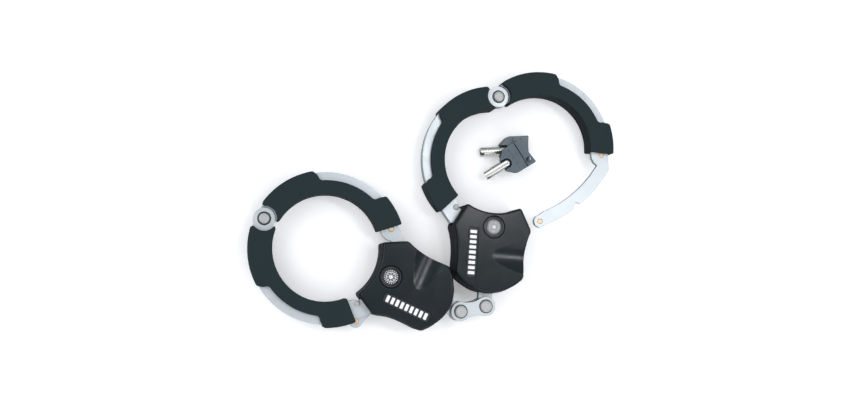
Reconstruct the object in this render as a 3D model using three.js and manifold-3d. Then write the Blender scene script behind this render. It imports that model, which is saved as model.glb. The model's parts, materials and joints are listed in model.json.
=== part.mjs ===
// Pair of bicycle-lock style handcuffs: two identical locking cuffs joined by one roller-chain link,
// with two tubular keys. Millimetres, +Z up, the cuffs lie flat on the XY plane.
//
// Each cuff is drawn in its own frame: the ring centre is the origin, +X runs through the lock to the
// chain pin, and the swinging arm is on the +Y side.
import * as THREE from 'three';
import { mergeVertices } from 'three/addons/utils/BufferGeometryUtils.js';
import Module from 'manifold-3d';

const wasm = await Module();
wasm.setup();

// ---- driving dimensions -------------------------------------------------------------------------
const GAP = 0.3;
const RING = { inner: 38, steelIn: 40.2, steelOut: 54, outer: 56.2, pivotOuter: 55.2 };
const PIVOT = { x: -48.3, knuckle: 7.7, clear: 8.4, sleeveClear: 8.8, pin: 2.6, head: 3.7 };
const CHAIN = { x: 106.7, pitch: 19.05, end: 7.1, waist: 5.15, pin: 3, head: 4.3 };

// Height bands, from the table up.
const BODY = { bottom: 0, top: 27, middle: 13.5, bevel: 1.8, corner: 2.7 };
const SLEEVE = { bottom: 6, top: 21, bevel: 0.8 };
const PLATE_LOW = [9.6, 11.3];
const PLATE_HIGH = [15.7, 17.4];
const TAIL_LOW = [11.6, 13.35];
const TAIL_HIGH = [13.65, 15.4];
const CAVITY = [4.5, 22.5];
const CORE_LOW = [4.8, 9.3];
const CORE_HIGH = [17.7, 22.2];
const TONGUE = [10.5, 16.5];
const LINK_LOW = [7, 10];
const LINK_HIGH = [17, 20];
const LINK_PIN = [5, 22];

// Lock body. Cutters that only have to pass right through the body run to its clear box.
const WALL = 3.3;
const CLEAR = { x0: 0, x1: 120, y: 50, z0: -5, z1: 40 };
const KEYWAY = { x: 49.2, y: 0.5, bore: 7.9, shellOut: 7.6, shellIn: 6.2, plug: 5.9, flap: 5.8 };
const BADGE = { x0: 50.3, x1: 86.8, y0: -18.2, y1: -10.4, corner: 2, floor: 25.7, top: 26.8 };
const SCOOP = { x: 70, radius: 25.5, edgeY: 25, depth: 3 };
const BOSSES = [[66, -16], [81, 6], [81, -6], [64, 16.5]];
const BOSS_RADIUS = 1.8;
const [FOOT_BOSS, ...TONGUE_BOSSES] = BOSSES.slice(0, 3);
const BOSS_LOW = 7;
const TONGUE_NECK = { from: 77.4, shoulder: 86, half: 5, wide: 11, eye: 7, angle: 134 };
const TONGUE_SLOT = { from: 84, to: 100, half: 5.4 };
const ARM_SLOT = [[31, 31], [30.6, 25.2], [36.6, 22.2], [40, 17], [48, 17], [50.2, 24], [49, 31]];
const CAM = { low: 18.2, high: 19.9, reach: 10.6, half: 1.5, hub: 3.2, angle: -32, room: 11.6, roof: 20.2 };

// Tail of the swinging arm: an arc about the mid pivot.
const TAIL = { inner: 91.6, outer: 101.3, slotIn: 91.1, slotOut: 102.4, tipAt: 97.4, tipAngle: -22.9,
  tip: 4.6, rivet: 1.9 };
const NOTCH = { from: -2.6, deep: -4.4, to: -6.8, radius: 97.8 };
const TAB_RIVET = { x: 36.2, y: 32.4, radius: 1.9 };
const BASE_RIVET = { x: 36.4, y: -26.4, radius: 1.6, head: 2.2, proud: 1.2 };
const PIVOT_PIN = [7.5, 19.5];

// Latch bolt, behind the tail.
const LATCH = { tip: 53.9, tail: 67, y0: -10.5, y1: -5.3, tipY: -7.5, postX: 62, post: 1.2,
  postLow: 14, postTop: 19.4 };
const LATCH_LINE = (LATCH.y0 + LATCH.y1) / 2;
const GUIDE = { x0: 54.8, x1: 76, y0: -11.8, y1: 12, channelEnd: 74 };
const POST_ROOM = { x0: 55, x1: 64.5, y0: -9.9, y1: -5.7 };
const SPRING = { wire: 0.32, from: 67.7, to: 73.4, radius: 1.45, turns: 5 };

// Sleeve ends and the window on its outer side, in degrees round the ring.
const SLEEVE_END = 43;
const WINDOW = { floor: 48, step: 51.5, baseOuter: 66.5, baseStep: 69.5, baseFloor: 74,
  pivotOuter: 126, pivotStep: 122.5, pivotFloor: 118 };

// Where the pieces lie.
const LEFT_AXIS = -25.5;
const LINK_AXIS = 10.5;
const RIGHT_AXIS = -94.5;
const RIGHT_OPENING = 46;

// Keys.
const KEY = { barrel: 3.5, bore: 2.35, barrelLength: 22, boreDepth: 8, bowStart: 14.8, bowEnd: 38,
  halfWidth: 10.3, thickness: 7.4, collar: 4.4 };
const FRONT_KEY = { tip: [119.2, 53.8, 6.5], direction: 32, rise: 18 };
const REAR_KEY = { tip: [115.9, 72.3, 4.5], direction: 4, rise: 0 };

// ---- materials ----------------------------------------------------------------------------------
function finish(color, roughness, metalness) {
  return new THREE.MeshStandardMaterial({ color, roughness, metalness });
}

const MATERIAL = {
  cover: finish(0x20292c, 0.3, 0),
  sleeve: finish(0x2a3538, 0.6, 0),
  zinc: finish(0xd2dde6, 0.35, 0.9),
  steel: finish(0xb9bdc0, 0.3, 0.95),
  brass: finish(0xdcb184, 0.35, 0.9),
  casting: finish(0x8e9498, 0.5, 0.8),
  plug: finish(0x9a9da0, 0.35, 0.9),
  badge: finish(0x15191b, 0.35, 0),
  spring: finish(0xa9adb0, 0.35, 0.9),
  keyBow: finish(0x4a545c, 0.4, 0),
};

// ---- outlines -----------------------------------------------------------------------------------
const point = (x, y) => new THREE.Vector2(x, y);
const pivot = point(PIVOT.x, 0);
const origin = point(0, 0);

function polar(radius, degrees, centre = origin) {
  const angle = THREE.MathUtils.degToRad(degrees);
  return point(centre.x + radius * Math.cos(angle), centre.y + radius * Math.sin(angle));
}

// Points of an arc from one angle to another, ends included.
function arc(radius, from, to, centre = origin, step = 7.5) {
  const count = Math.max(1, Math.round(Math.abs(to - from) / step));
  const points = [];
  for (let i = 0; i <= count; i += 1) {
    points.push(polar(radius, from + ((to - from) * i) / count, centre));
  }
  return points;
}

// Where the ring circle of one radius crosses a circle about the pivot, on the +Y side.
function crossing(ringRadius, pivotRadius) {
  const x = (ringRadius ** 2 + PIVOT.x ** 2 - pivotRadius ** 2) / (2 * PIVOT.x);
  const y = Math.sqrt(ringRadius ** 2 - x ** 2);
  return {
    ring: THREE.MathUtils.radToDeg(Math.atan2(y, x)),
    pivot: THREE.MathUtils.radToDeg(Math.atan2(y, x - PIVOT.x)),
  };
}

const mirrored = (points) => points.map((p) => point(p.x, -p.y)).reverse();

function withoutRepeats(points) {
  return points.filter((p, i) => p.distanceTo(points[(i + 1) % points.length]) > 0.02);
}

// Corners moved inwards by the same distance along every edge; the outline runs anticlockwise.
function inset(corners, distance) {
  return corners.map((corner, i) => {
    const before = corners[(i + corners.length - 1) % corners.length];
    const after = corners[(i + 1) % corners.length];
    const a = corner.clone().sub(before).normalize();
    const b = after.clone().sub(corner).normalize();
    const na = point(-a.y, a.x);
    const nb = point(-b.y, b.x);
    const reach = distance / (1 + na.dot(nb));
    return corner.clone().add(na.add(nb).multiplyScalar(reach));
  });
}

// Corners rounded with a short curve each.
function rounded(corners, radius, segments = 3) {
  const points = [];
  corners.forEach((corner, i) => {
    const before = corners[(i + corners.length - 1) % corners.length];
    const after = corners[(i + 1) % corners.length];
    const reach = Math.min(radius, corner.distanceTo(before) * 0.4, corner.distanceTo(after) * 0.4);
    const start = corner.clone().add(before.clone().sub(corner).setLength(reach));
    const end = corner.clone().add(after.clone().sub(corner).setLength(reach));
    points.push(...new THREE.QuadraticBezierCurve(start, corner, end).getPoints(segments));
  });
  return points;
}

function curve(start, control, end, segments = 3) {
  return new THREE.QuadraticBezierCurve(start, control, end).getPoints(segments);
}

// ---- solids -------------------------------------------------------------------------------------
function extruded(points, [bottom, top], holes = [], bevel = 0) {
  const shape = new THREE.Shape(withoutRepeats(points));
  shape.holes = holes.map(({ x, y, radius, sides = 20 }) =>
    new THREE.Path(arc(radius, 0, 360 - 360 / sides, point(x, y), 360 / sides)));
  const geometry = new THREE.ExtrudeGeometry(shape, {
    depth: top - bottom - 2 * bevel,
    bevelEnabled: bevel > 0,
    bevelThickness: bevel,
    bevelSize: bevel,
    bevelOffset: -bevel,
    bevelSegments: 1,
  });
  return geometry.translate(0, 0, bottom + bevel);
}

// Turned piece about a vertical axis; the profile is [radius, height] pairs and closes on itself.
function turned(profile, x, y, sides = 20) {
  const points = profile.map(([radius, height]) => point(radius, height));
  const geometry = new THREE.LatheGeometry(points, sides);
  return geometry.rotateX(Math.PI / 2).translate(x, y, 0);
}

// Solid pin with wider heads at both ends.
function headedPin({ x, y, radius, head, bottom, top, headHeight, crown = 0.5, sides = 20 }) {
  return turned([
    [0, bottom], [head - crown, bottom], [head, bottom + crown], [head, bottom + headHeight],
    [radius, bottom + headHeight], [radius, top - headHeight], [head, top - headHeight],
    [head, top - crown], [head - crown, top], [0, top],
  ], x, y, sides);
}

function box(x0, x1, y0, y1, z0, z1) {
  const geometry = new THREE.BoxGeometry(x1 - x0, y1 - y0, z1 - z0);
  return geometry.translate((x0 + x1) / 2, (y0 + y1) / 2, (z0 + z1) / 2);
}

function toSolid(geometry) {
  const bare = geometry.clone();
  bare.deleteAttribute('normal');
  bare.deleteAttribute('uv');
  const merged = mergeVertices(bare, 1e-4);
  const triangles = [];
  for (let i = 0; i < merged.index.count; i += 3) {
    const corners = [0, 1, 2].map((k) => merged.index.getX(i + k));
    if (new Set(corners).size === 3) {
      triangles.push(...corners);
    }
  }
  return new wasm.Manifold(new wasm.Mesh({
    numProp: 3,
    vertProperties: Float32Array.from(merged.attributes.position.array),
    triVerts: Uint32Array.from(triangles),
  }));
}

function toGeometry(solid) {
  const mesh = solid.getMesh();
  const geometry = new THREE.BufferGeometry();
  geometry.setAttribute('position', new THREE.BufferAttribute(Float32Array.from(mesh.vertProperties), 3));
  geometry.setIndex(new THREE.BufferAttribute(Uint32Array.from(mesh.triVerts), 1));
  geometry.computeVertexNormals();
  return geometry;
}

function cut(geometry, ...cutters) {
  return toGeometry(cutters.reduce((solid, cutter) => solid.subtract(toSolid(cutter)), toSolid(geometry)));
}

function join(geometry, ...others) {
  return toGeometry(others.reduce((solid, other) => solid.add(toSolid(other)), toSolid(geometry)));
}

// ---- arms ---------------------------------------------------------------------------------------
// Outlines are drawn for the +Y arm; the -Y arm uses them mirrored.

// Pivot end of a strip that carries the round knuckle, from the inner edge to the outer edge.
function knuckleEnd() {
  const meet = crossing(RING.steelOut, PIVOT.knuckle);
  return { outerAngle: meet.ring, points: arc(PIVOT.knuckle, meet.pivot, 360, pivot, 18) };
}

// Pivot end of a strip that stops short of the other arm's knuckle, hollowed to clear it.
function hollowEnd() {
  const outer = crossing(RING.steelOut, PIVOT.clear);
  const inner = crossing(RING.steelIn, PIVOT.clear);
  return { outerAngle: outer.ring, points: arc(PIVOT.clear, outer.pivot, inner.pivot, pivot, 18) };
}

// Closed strip outline: inner edge, base end, outer edge back to the pivot end.
function strip(pivotEnd, base, innerAngle, outerAngle) {
  return [
    ...arc(RING.steelIn, 172, innerAngle),
    ...base,
    ...arc(RING.steelOut, outerAngle, pivotEnd.outerAngle),
    ...pivotEnd.points,
  ];
}

// Edge points of the flat tab between a sleeve and the lock.
const TAB_INNER = [point(28.6, 28.4), point(33.3, 24.8), point(36.9, 24)];
const TAB_OUTER = [point(48.2, 29.8)];

function tailOutline() {
  const tip = polar(TAIL.tipAt, TAIL.tipAngle, pivot);
  const base = [
    ...TAB_INNER,
    ...arc(TAIL.inner, 15.6, -19.5, pivot, 4),
    ...arc(TAIL.tip, 175 + TAIL.tipAngle, 355 + TAIL.tipAngle, tip, 22),
    ...arc(TAIL.outer, -20.3, NOTCH.to, pivot, 4),
    polar(NOTCH.radius, NOTCH.deep, pivot),
    ...arc(TAIL.outer, NOTCH.from, 16.2, pivot, 4),
    ...TAB_OUTER,
  ];
  return strip(knuckleEnd(), base, 46, SLEEVE_END - 0.5);
}

function armPlateOutline() {
  return strip(hollowEnd(), [], SLEEVE_END + 4, SLEEVE_END + 4);
}

function spacerOutline() {
  return strip(hollowEnd(), [], 50, 50);
}

// Fixed arm plate: knuckle, strip and the base that is riveted inside the lock.
function basePlateOutline() {
  const base = [
    ...TAB_INNER,
    point(40, 18), point(45, 13), point(70, 12.4), point(73, 15), point(73, 19.6),
    point(57, 21.6), point(47.2, 24.8),
    ...TAB_OUTER,
  ];
  return strip(knuckleEnd(), base, 46, SLEEVE_END - 0.5);
}

// The part of the base plate that passes through the lock's side, for the slot it needs.
function baseSlot() {
  const corners = ARM_SLOT.map(([x, y]) => point(x, y));
  return extruded(mirrored(corners), [PLATE_LOW[0] - GAP, PLATE_HIGH[1] + GAP]);
}

// Curved channel that the tail swings through.
function tailSlot() {
  const points = [...arc(TAIL.slotIn, 30, -27, pivot, 5), ...arc(TAIL.slotOut, -27, 30, pivot, 5)];
  return extruded(points, [TAIL_LOW[0] - 0.4, TAIL_HIGH[1] + 0.4]);
}

// Moulded sleeve round a strip, with a window that leaves the strip's outer edge bare.
function sleeveOutline() {
  const w = WINDOW;
  const tip = crossing(RING.pivotOuter, 11.2);
  return [
    ...arc(RING.inner, 175, SLEEVE_END),
    ...arc(RING.outer, SLEEVE_END, w.baseOuter),
    ...curve(polar(w.step, w.baseStep), polar(w.floor, w.baseStep + 1), polar(w.floor, w.baseFloor)),
    ...arc(w.floor, w.baseFloor, w.pivotFloor),
    ...curve(polar(w.floor, w.pivotFloor), polar(w.floor, w.pivotStep - 1), polar(w.step, w.pivotStep)),
    ...arc(RING.pivotOuter, w.pivotOuter, tip.ring),
    ...arc(PIVOT.sleeveClear, 120, 10, pivot, 15),
  ];
}

function sleeve(side) {
  const orient = side > 0 ? (points) => points : mirrored;
  const cavity = [
    ...arc(RING.steelIn - GAP, 184, SLEEVE_END - 4),
    ...arc(RING.steelOut + GAP, SLEEVE_END - 4, 184),
  ];
  const shell = extruded(orient(sleeveOutline()), [SLEEVE.bottom, SLEEVE.top], [], SLEEVE.bevel);
  const channel = extruded(orient(cavity), [PLATE_LOW[0] - GAP, PLATE_HIGH[1] + GAP]);
  return side > 0 ? cut(shell, channel) : cut(shell, channel, tailSlot());
}

// ---- lock body ----------------------------------------------------------------------------------
function bodyCorners(distance) {
  const half = [point(50, 29), point(57.5, 26.2), point(69, 24.8), point(85, 25.2), point(90, 19.6),
    point(95.4, 10.2)];
  const corners = [
    ...arc(39, -31, 31, origin, 10).reverse(),
    ...mirrored(half).reverse(),
    point(97.8, 0),
    ...half.slice().reverse(),
  ];
  return inset(corners, distance);
}

function bodyBlock([bottom, top], distance, bevel, radius) {
  return extruded(rounded(bodyCorners(distance), radius), [bottom, top], [], bevel);
}

// Everything both covers leave room for.
function bodyHollows() {
  return [
    bodyBlock(CAVITY, WALL, 0, 1),
    tailSlot(),
    baseSlot(),
    box(TONGUE_SLOT.from, TONGUE_SLOT.to, -TONGUE_SLOT.half, TONGUE_SLOT.half, TONGUE[0] - GAP,
      TONGUE[1] + GAP),
  ];
}

function badgeOutline(shrink) {
  const corners = [
    point(BADGE.x0 + shrink, BADGE.y0 + shrink), point(BADGE.x1 - shrink, BADGE.y0 + shrink),
    point(BADGE.x1 - shrink, BADGE.y1 - shrink), point(BADGE.x0 + shrink, BADGE.y1 - shrink),
  ];
  return rounded(corners, BADGE.corner);
}

// Shallow thumb trough that starts at the +Y edge and fades out on the lock's centre line.
function scoopCutter() {
  const slope = Math.atan2(SCOOP.depth, SCOOP.edgeY);
  const geometry = new THREE.CylinderGeometry(SCOOP.radius, SCOOP.radius, 60, 48);
  geometry.rotateX(-slope);
  return geometry.translate(SCOOP.x, 0, BODY.top + SCOOP.radius / Math.cos(slope));
}

function frontCover() {
  const block = bodyBlock([BODY.bottom, BODY.top], 0, BODY.bevel, BODY.corner);
  const lowerHalf = box(CLEAR.x0, CLEAR.x1, -CLEAR.y, CLEAR.y, CLEAR.z0, BODY.middle + GAP / 2);
  const bore = cylinderAt(KEYWAY.bore, CORE_HIGH[0], CLEAR.z1, KEYWAY.x, KEYWAY.y, 32);
  const badge = extruded(badgeOutline(0), [BADGE.floor, CLEAR.z1]);
  return cut(block, lowerHalf, ...bodyHollows(), bore, badge, scoopCutter());
}

function rearCover() {
  const block = bodyBlock([BODY.bottom, BODY.top], 0, BODY.bevel, BODY.corner);
  const upperHalf = box(CLEAR.x0, CLEAR.x1, -CLEAR.y, CLEAR.y, BODY.middle - GAP / 2, CLEAR.z1);
  return cut(block, upperHalf, ...bodyHollows());
}

function cylinderAt(radius, bottom, top, x, y, sides = 24) {
  return turned([[0, bottom], [radius, bottom], [radius, top], [0, top]], x, y, sides);
}

// Upper half of the steel core, with the bore for the lock cylinder and room for its cam.
function coreFront() {
  const block = bodyBlock(CORE_HIGH, WALL + GAP, 0, 1);
  const camRoom = cylinderAt(CAM.room, TONGUE[0], CAM.roof, KEYWAY.x, KEYWAY.y);
  const postRoom = box(POST_ROOM.x0, POST_ROOM.x1, POST_ROOM.y0, POST_ROOM.y1, TONGUE[0], CAM.roof);
  const bore = cylinderAt(KEYWAY.bore, CAM.low, CLEAR.z1, KEYWAY.x, KEYWAY.y);
  return cut(block, camRoom, postRoom, bore);
}

// Lower half of the core, with bosses that hold the fixed arm, the tongue and the cover screws.
function coreRear() {
  const block = bodyBlock(CORE_LOW, WALL + GAP, 0, 1);
  const bosses = BOSSES.map(([x, y]) => cylinderAt(BOSS_RADIUS, BOSS_LOW, PLATE_HIGH[1], x, y, 12));
  return join(block, ...bosses);
}

function anchorTongue() {
  const eye = point(CHAIN.x, 0);
  const neck = TONGUE_NECK;
  const outline = [
    point(neck.from, -neck.wide), point(neck.shoulder, -neck.wide), point(neck.shoulder, -neck.half),
    ...arc(neck.eye, -neck.angle, neck.angle, eye, 15),
    point(neck.shoulder, neck.half), point(neck.shoulder, neck.wide), point(neck.from, neck.wide),
  ];
  const holes = [
    { x: CHAIN.x, y: 0, radius: CHAIN.pin + GAP },
    ...TONGUE_BOSSES.map(([x, y]) => ({ x, y, radius: BOSS_RADIUS + GAP, sides: 16 })),
  ];
  return extruded(outline, TONGUE, holes);
}

function latchGuide() {
  const block = box(GUIDE.x0, GUIDE.x1, GUIDE.y0, GUIDE.y1, PLATE_LOW[0], PLATE_HIGH[1]);
  const channel = box(CLEAR.x0, GUIDE.channelEnd, LATCH.y0 - GAP, LATCH.y1 + GAP, TAIL_LOW[0] - GAP,
    TAIL_HIGH[1] + GAP);
  const postSlot = box(CLEAR.x0, POST_ROOM.x1, POST_ROOM.y0, POST_ROOM.y1, BODY.middle, CAM.roof);
  return cut(block, channel, postSlot);
}

// Sliding bolt with a wedge nose that fits the tail's notch, and a post for the cam.
function latchBolt() {
  const outline = [
    point(LATCH.tip, LATCH.tipY), point(LATCH.tip + 2.2, LATCH.y0), point(LATCH.tail, LATCH.y0),
    point(LATCH.tail, LATCH.y1), point(LATCH.tip + 3, LATCH.y1),
  ];
  const bolt = extruded(outline, [TAIL_LOW[0], TAIL_HIGH[1]]);
  return join(bolt, cylinderAt(LATCH.post, LATCH.postLow, LATCH.postTop, LATCH.postX, LATCH_LINE, 16));
}

// Compression spring behind the bolt.
class Helix extends THREE.Curve {
  constructor(start, end, y, z, radius, turns) {
    super();
    Object.assign(this, { start, end, y, z, radius, turns });
  }

  getPoint(t) {
    const angle = t * this.turns * 2 * Math.PI;
    return new THREE.Vector3(this.start + (this.end - this.start) * t,
      this.y + this.radius * Math.cos(angle), this.z + this.radius * Math.sin(angle));
  }
}

function latchSpring() {
  const wire = new THREE.Shape(arc(SPRING.wire, 0, 300, origin, 60));
  const path = new Helix(SPRING.from, SPRING.to, LATCH_LINE, BODY.middle, SPRING.radius, SPRING.turns);
  return new THREE.ExtrudeGeometry(wire, { steps: 45, extrudePath: path, bevelEnabled: false });
}

function cylinderShell() {
  const { x, y, shellIn, shellOut } = KEYWAY;
  const ring = turned([
    [shellIn, 20.4], [shellOut, 20.4], [shellOut, 26.3], [shellOut - 0.5, 26.8], [shellIn + 0.3, 26.8],
    [shellIn, 26.4], [shellIn, 20.4],
  ], x, y, 32);
  return cut(ring, box(x - 8.4, x - 5.8, y - 2.3, y + 2.3, 25.8, 30));
}

// Rotating plug with the round keyway groove, and the cam finger under it.
function keyPlug() {
  const { x, y, plug } = KEYWAY;
  const body = turned([
    [0, CAM.low], [CAM.hub, CAM.low], [CAM.hub, 20.3], [plug, 20.3], [plug, 25.7], [3.9, 25.7],
    [3.9, 20.9], [2.2, 20.9], [2.2, 25.2], [0, 25.2],
  ], x, y, 24);
  const finger = box(0, CAM.reach, -CAM.half, CAM.half, CAM.low, CAM.high);
  finger.rotateZ(THREE.MathUtils.degToRad(CAM.angle)).translate(x, y, 0);
  return join(body, finger);
}

const SHUTTER_AXIS = { x: KEYWAY.x - 6.85, z: 26.9 };

// Flap over the keyway, hung on a small knuckle at the ring's edge.
function shutter() {
  const { x, y, flap } = KEYWAY;
  const disc = turned([[0, 26], [flap, 26], [flap, 26.5], [flap - 0.6, 26.8], [0, 26.95]], x, y, 24);
  const knuckle = new THREE.CylinderGeometry(0.6, 0.6, 3.6, 12);
  knuckle.translate(SHUTTER_AXIS.x, y, SHUTTER_AXIS.z);
  const web = box(SHUTTER_AXIS.x, x - 4.6, y - 1.5, y + 1.5, 26.05, 26.75);
  return join(disc, web, knuckle);
}

// ---- one cuff -----------------------------------------------------------------------------------
function mesh(name, geometry, material) {
  const part = new THREE.Mesh(geometry, material);
  part.name = name;
  return part;
}

function shortRivet(x, y, radius, bottom, top, head) {
  return headedPin({ x, y, radius, head, bottom, top, headHeight: 0.9, crown: 0.3, sides: 12 });
}

// Pieces that stay with the lock: covers, core, cylinder and the fixed arm.
function lockPieces(side) {
  const plateHoles = [
    { x: PIVOT.x, y: 0, radius: PIVOT.pin + GAP },
    { x: BASE_RIVET.x, y: BASE_RIVET.y, radius: BASE_RIVET.radius + GAP, sides: 16 },
    { x: FOOT_BOSS[0], y: FOOT_BOSS[1], radius: BOSS_RADIUS + GAP, sides: 16 },
  ];
  const basePlate = (band) => extruded(mirrored(basePlateOutline()), band, plateHoles);
  return [
    mesh(`${side}_front_cover`, frontCover(), MATERIAL.cover),
    mesh(`${side}_rear_cover`, rearCover(), MATERIAL.cover),
    mesh(`${side}_core_front`, coreFront(), MATERIAL.casting),
    mesh(`${side}_core_rear`, coreRear(), MATERIAL.casting),
    mesh(`${side}_anchor_tongue`, anchorTongue(), MATERIAL.zinc),
    mesh(`${side}_latch_guide`, latchGuide(), MATERIAL.casting),
    mesh(`${side}_latch_spring`, latchSpring(), MATERIAL.spring),
    mesh(`${side}_cylinder_shell`, cylinderShell(), MATERIAL.badge),
    mesh(`${side}_badge_plate`, extruded(badgeOutline(GAP), [BADGE.floor + GAP, BADGE.top], [], 0.3),
      MATERIAL.badge),
    mesh(`${side}_fixed_plate_top`, basePlate(PLATE_HIGH), MATERIAL.zinc),
    mesh(`${side}_fixed_plate_bottom`, basePlate(PLATE_LOW), MATERIAL.zinc),
    mesh(`${side}_fixed_spacer`, extruded(mirrored(spacerOutline()), [TAIL_LOW[0], TAIL_HIGH[1]]),
      MATERIAL.zinc),
    mesh(`${side}_fixed_sleeve`, sleeve(-1), MATERIAL.sleeve),
    mesh(`${side}_base_rivet`, shortRivet(BASE_RIVET.x, BASE_RIVET.y, BASE_RIVET.radius,
      PLATE_LOW[0] - BASE_RIVET.proud, PLATE_HIGH[1] + BASE_RIVET.proud, BASE_RIVET.head), MATERIAL.steel),
    mesh(`${side}_pivot_pin`, headedPin({ x: PIVOT.x, y: 0, radius: PIVOT.pin, head: PIVOT.head,
      bottom: PIVOT_PIN[0], top: PIVOT_PIN[1], headHeight: 1.8, crown: 0.6 }), MATERIAL.steel),
  ];
}

// Pieces that swing about the mid pivot.
function swingPieces(side) {
  const tip = polar(TAIL.tipAt, TAIL.tipAngle, pivot);
  const tailHoles = [
    { x: PIVOT.x, y: 0, radius: PIVOT.pin + GAP },
    { x: tip.x, y: tip.y, radius: TAIL.rivet + GAP, sides: 16 },
    { x: TAB_RIVET.x, y: TAB_RIVET.y, radius: TAB_RIVET.radius + GAP, sides: 16 },
  ];
  const rivet = ({ x, y }, radius) => cylinderAt(radius, TAIL_LOW[0], TAIL_HIGH[1], x, y, 16);
  return [
    mesh(`${side}_tail_plate_top`, extruded(tailOutline(), TAIL_HIGH, tailHoles), MATERIAL.zinc),
    mesh(`${side}_tail_plate_bottom`, extruded(tailOutline(), TAIL_LOW, tailHoles), MATERIAL.zinc),
    mesh(`${side}_swing_plate_top`, extruded(armPlateOutline(), PLATE_HIGH), MATERIAL.zinc),
    mesh(`${side}_swing_plate_bottom`, extruded(armPlateOutline(), PLATE_LOW), MATERIAL.zinc),
    mesh(`${side}_swing_sleeve`, sleeve(1), MATERIAL.sleeve),
    mesh(`${side}_tip_rivet`, rivet(tip, TAIL.rivet), MATERIAL.brass),
    mesh(`${side}_tab_rivet`, rivet(TAB_RIVET, TAB_RIVET.radius), MATERIAL.brass),
  ];
}

function cuff(side, opening) {
  const group = new THREE.Group();
  group.add(...lockPieces(side));
  group.add(mesh(`${side}_latch_bolt`, latchBolt(), MATERIAL.steel));
  group.add(mesh(`${side}_key_plug`, keyPlug(), MATERIAL.plug));
  group.add(mesh(`${side}_shutter`, shutter(), MATERIAL.steel));

  const swing = new THREE.Group();
  swing.position.set(PIVOT.x, 0, 0);
  swing.rotation.z = THREE.MathUtils.degToRad(opening);
  const arm = new THREE.Group();
  arm.position.set(-PIVOT.x, 0, 0);
  arm.add(...swingPieces(side));
  swing.add(arm);
  group.add(swing);
  return group;
}

// ---- chain link ---------------------------------------------------------------------------------
function linkOutline() {
  const half = CHAIN.pitch / 2;
  const left = point(-half, 0);
  const right = point(half, 0);
  const waist = 2 * CHAIN.waist - CHAIN.end * Math.sin(THREE.MathUtils.degToRad(50));
  const lower = curve(polar(CHAIN.end, 310, left), point(0, -waist), polar(CHAIN.end, -130, right), 4);
  const upper = curve(polar(CHAIN.end, 130, right), point(0, waist), polar(CHAIN.end, 50, left), 4);
  return [
    ...arc(CHAIN.end, 50, 310, left, 15), ...lower,
    ...arc(CHAIN.end, -130, 130, right, 15), ...upper,
  ];
}

function chainLink() {
  const half = CHAIN.pitch / 2;
  const holes = [-half, half].map((x) => ({ x, y: 0, radius: CHAIN.pin + GAP }));
  const pin = (x) => headedPin({ x, y: 0, radius: CHAIN.pin, head: CHAIN.head, bottom: LINK_PIN[0],
    top: LINK_PIN[1], headHeight: LINK_PIN[1] - LINK_HIGH[1] - GAP, crown: 0.6 });
  const group = new THREE.Group();
  group.add(
    mesh('link_plate_top', extruded(linkOutline(), LINK_HIGH, holes), MATERIAL.zinc),
    mesh('link_plate_bottom', extruded(linkOutline(), LINK_LOW, holes), MATERIAL.zinc),
    mesh('link_pin_left', pin(-half), MATERIAL.steel),
    mesh('link_pin_right', pin(half), MATERIAL.steel),
  );
  return group;
}

// ---- keys ---------------------------------------------------------------------------------------
// A key points along +X from the tip of its barrel; its middle plane is z = 0.
function keyBarrel() {
  const { barrel, bore, barrelLength, boreDepth } = KEY;
  const tube = new THREE.LatheGeometry([
    point(0, boreDepth), point(bore, boreDepth), point(bore, 0), point(barrel - 0.3, 0),
    point(barrel, 0.4), point(barrel, barrelLength), point(0, barrelLength),
  ], 20);
  tube.rotateZ(-Math.PI / 2);
  const slot = box(-1, 11, -0.7, 0.7, 1.6, 5);
  const lugNotch = box(-1, 2.2, -5, -1.6, -0.9, 0.9);
  return cut(tube, slot, lugNotch);
}

function keyBow() {
  const { bowStart, bowEnd, halfWidth, thickness, barrel, barrelLength, collar } = KEY;
  const half = [point(bowStart, -4.6), point(bowStart + 6.2, -halfWidth), point(bowEnd, -halfWidth)];
  const outline = [
    ...rounded([...half, point(bowEnd - 1.6, 0), ...mirrored(half)], 1.4),
  ];
  const flat = extruded(outline, [-thickness / 2, thickness / 2],
    [{ x: bowEnd - 4.2, y: -halfWidth + 4.4, radius: 1.9, sides: 16 }], 0.5);
  const root = new THREE.CylinderGeometry(collar, collar, 6, 16);
  root.rotateZ(Math.PI / 2).translate(bowStart + 4.2, 0, 0);
  const socket = new THREE.CylinderGeometry(barrel + GAP, barrel + GAP, barrelLength - bowStart + 10, 16);
  socket.rotateZ(Math.PI / 2).translate((bowStart - 10 + barrelLength + GAP) / 2 + GAP / 2, 0, 0);
  return cut(join(flat, root), socket);
}

// Placed by the tip of the barrel, the direction on the table and how far the bow end is raised.
function key(name, { tip, direction, rise }) {
  const group = new THREE.Group();
  group.position.set(...tip);
  group.rotation.set(0, -THREE.MathUtils.degToRad(rise), THREE.MathUtils.degToRad(direction), 'ZYX');
  group.add(mesh(`${name}_barrel`, keyBarrel(), MATERIAL.steel));
  group.add(mesh(`${name}_bow`, keyBow(), MATERIAL.keyBow));
  return group;
}

// ---- assembly -----------------------------------------------------------------------------------
const leftPin = polar(CHAIN.x, LEFT_AXIS);
const rightPin = polar(CHAIN.pitch, LINK_AXIS, leftPin);
const rightCentre = polar(-CHAIN.x, RIGHT_AXIS, rightPin);

const layout = new THREE.Group();

const leftCuff = cuff('left', 0);
leftCuff.rotation.z = THREE.MathUtils.degToRad(LEFT_AXIS);

const rightCuff = cuff('right', RIGHT_OPENING);
rightCuff.position.set(rightCentre.x, rightCentre.y, 0);
rightCuff.rotation.z = THREE.MathUtils.degToRad(RIGHT_AXIS);

const link = chainLink();
link.position.set((leftPin.x + rightPin.x) / 2, (leftPin.y + rightPin.y) / 2, 0);
link.rotation.z = THREE.MathUtils.degToRad(LINK_AXIS);

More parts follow.
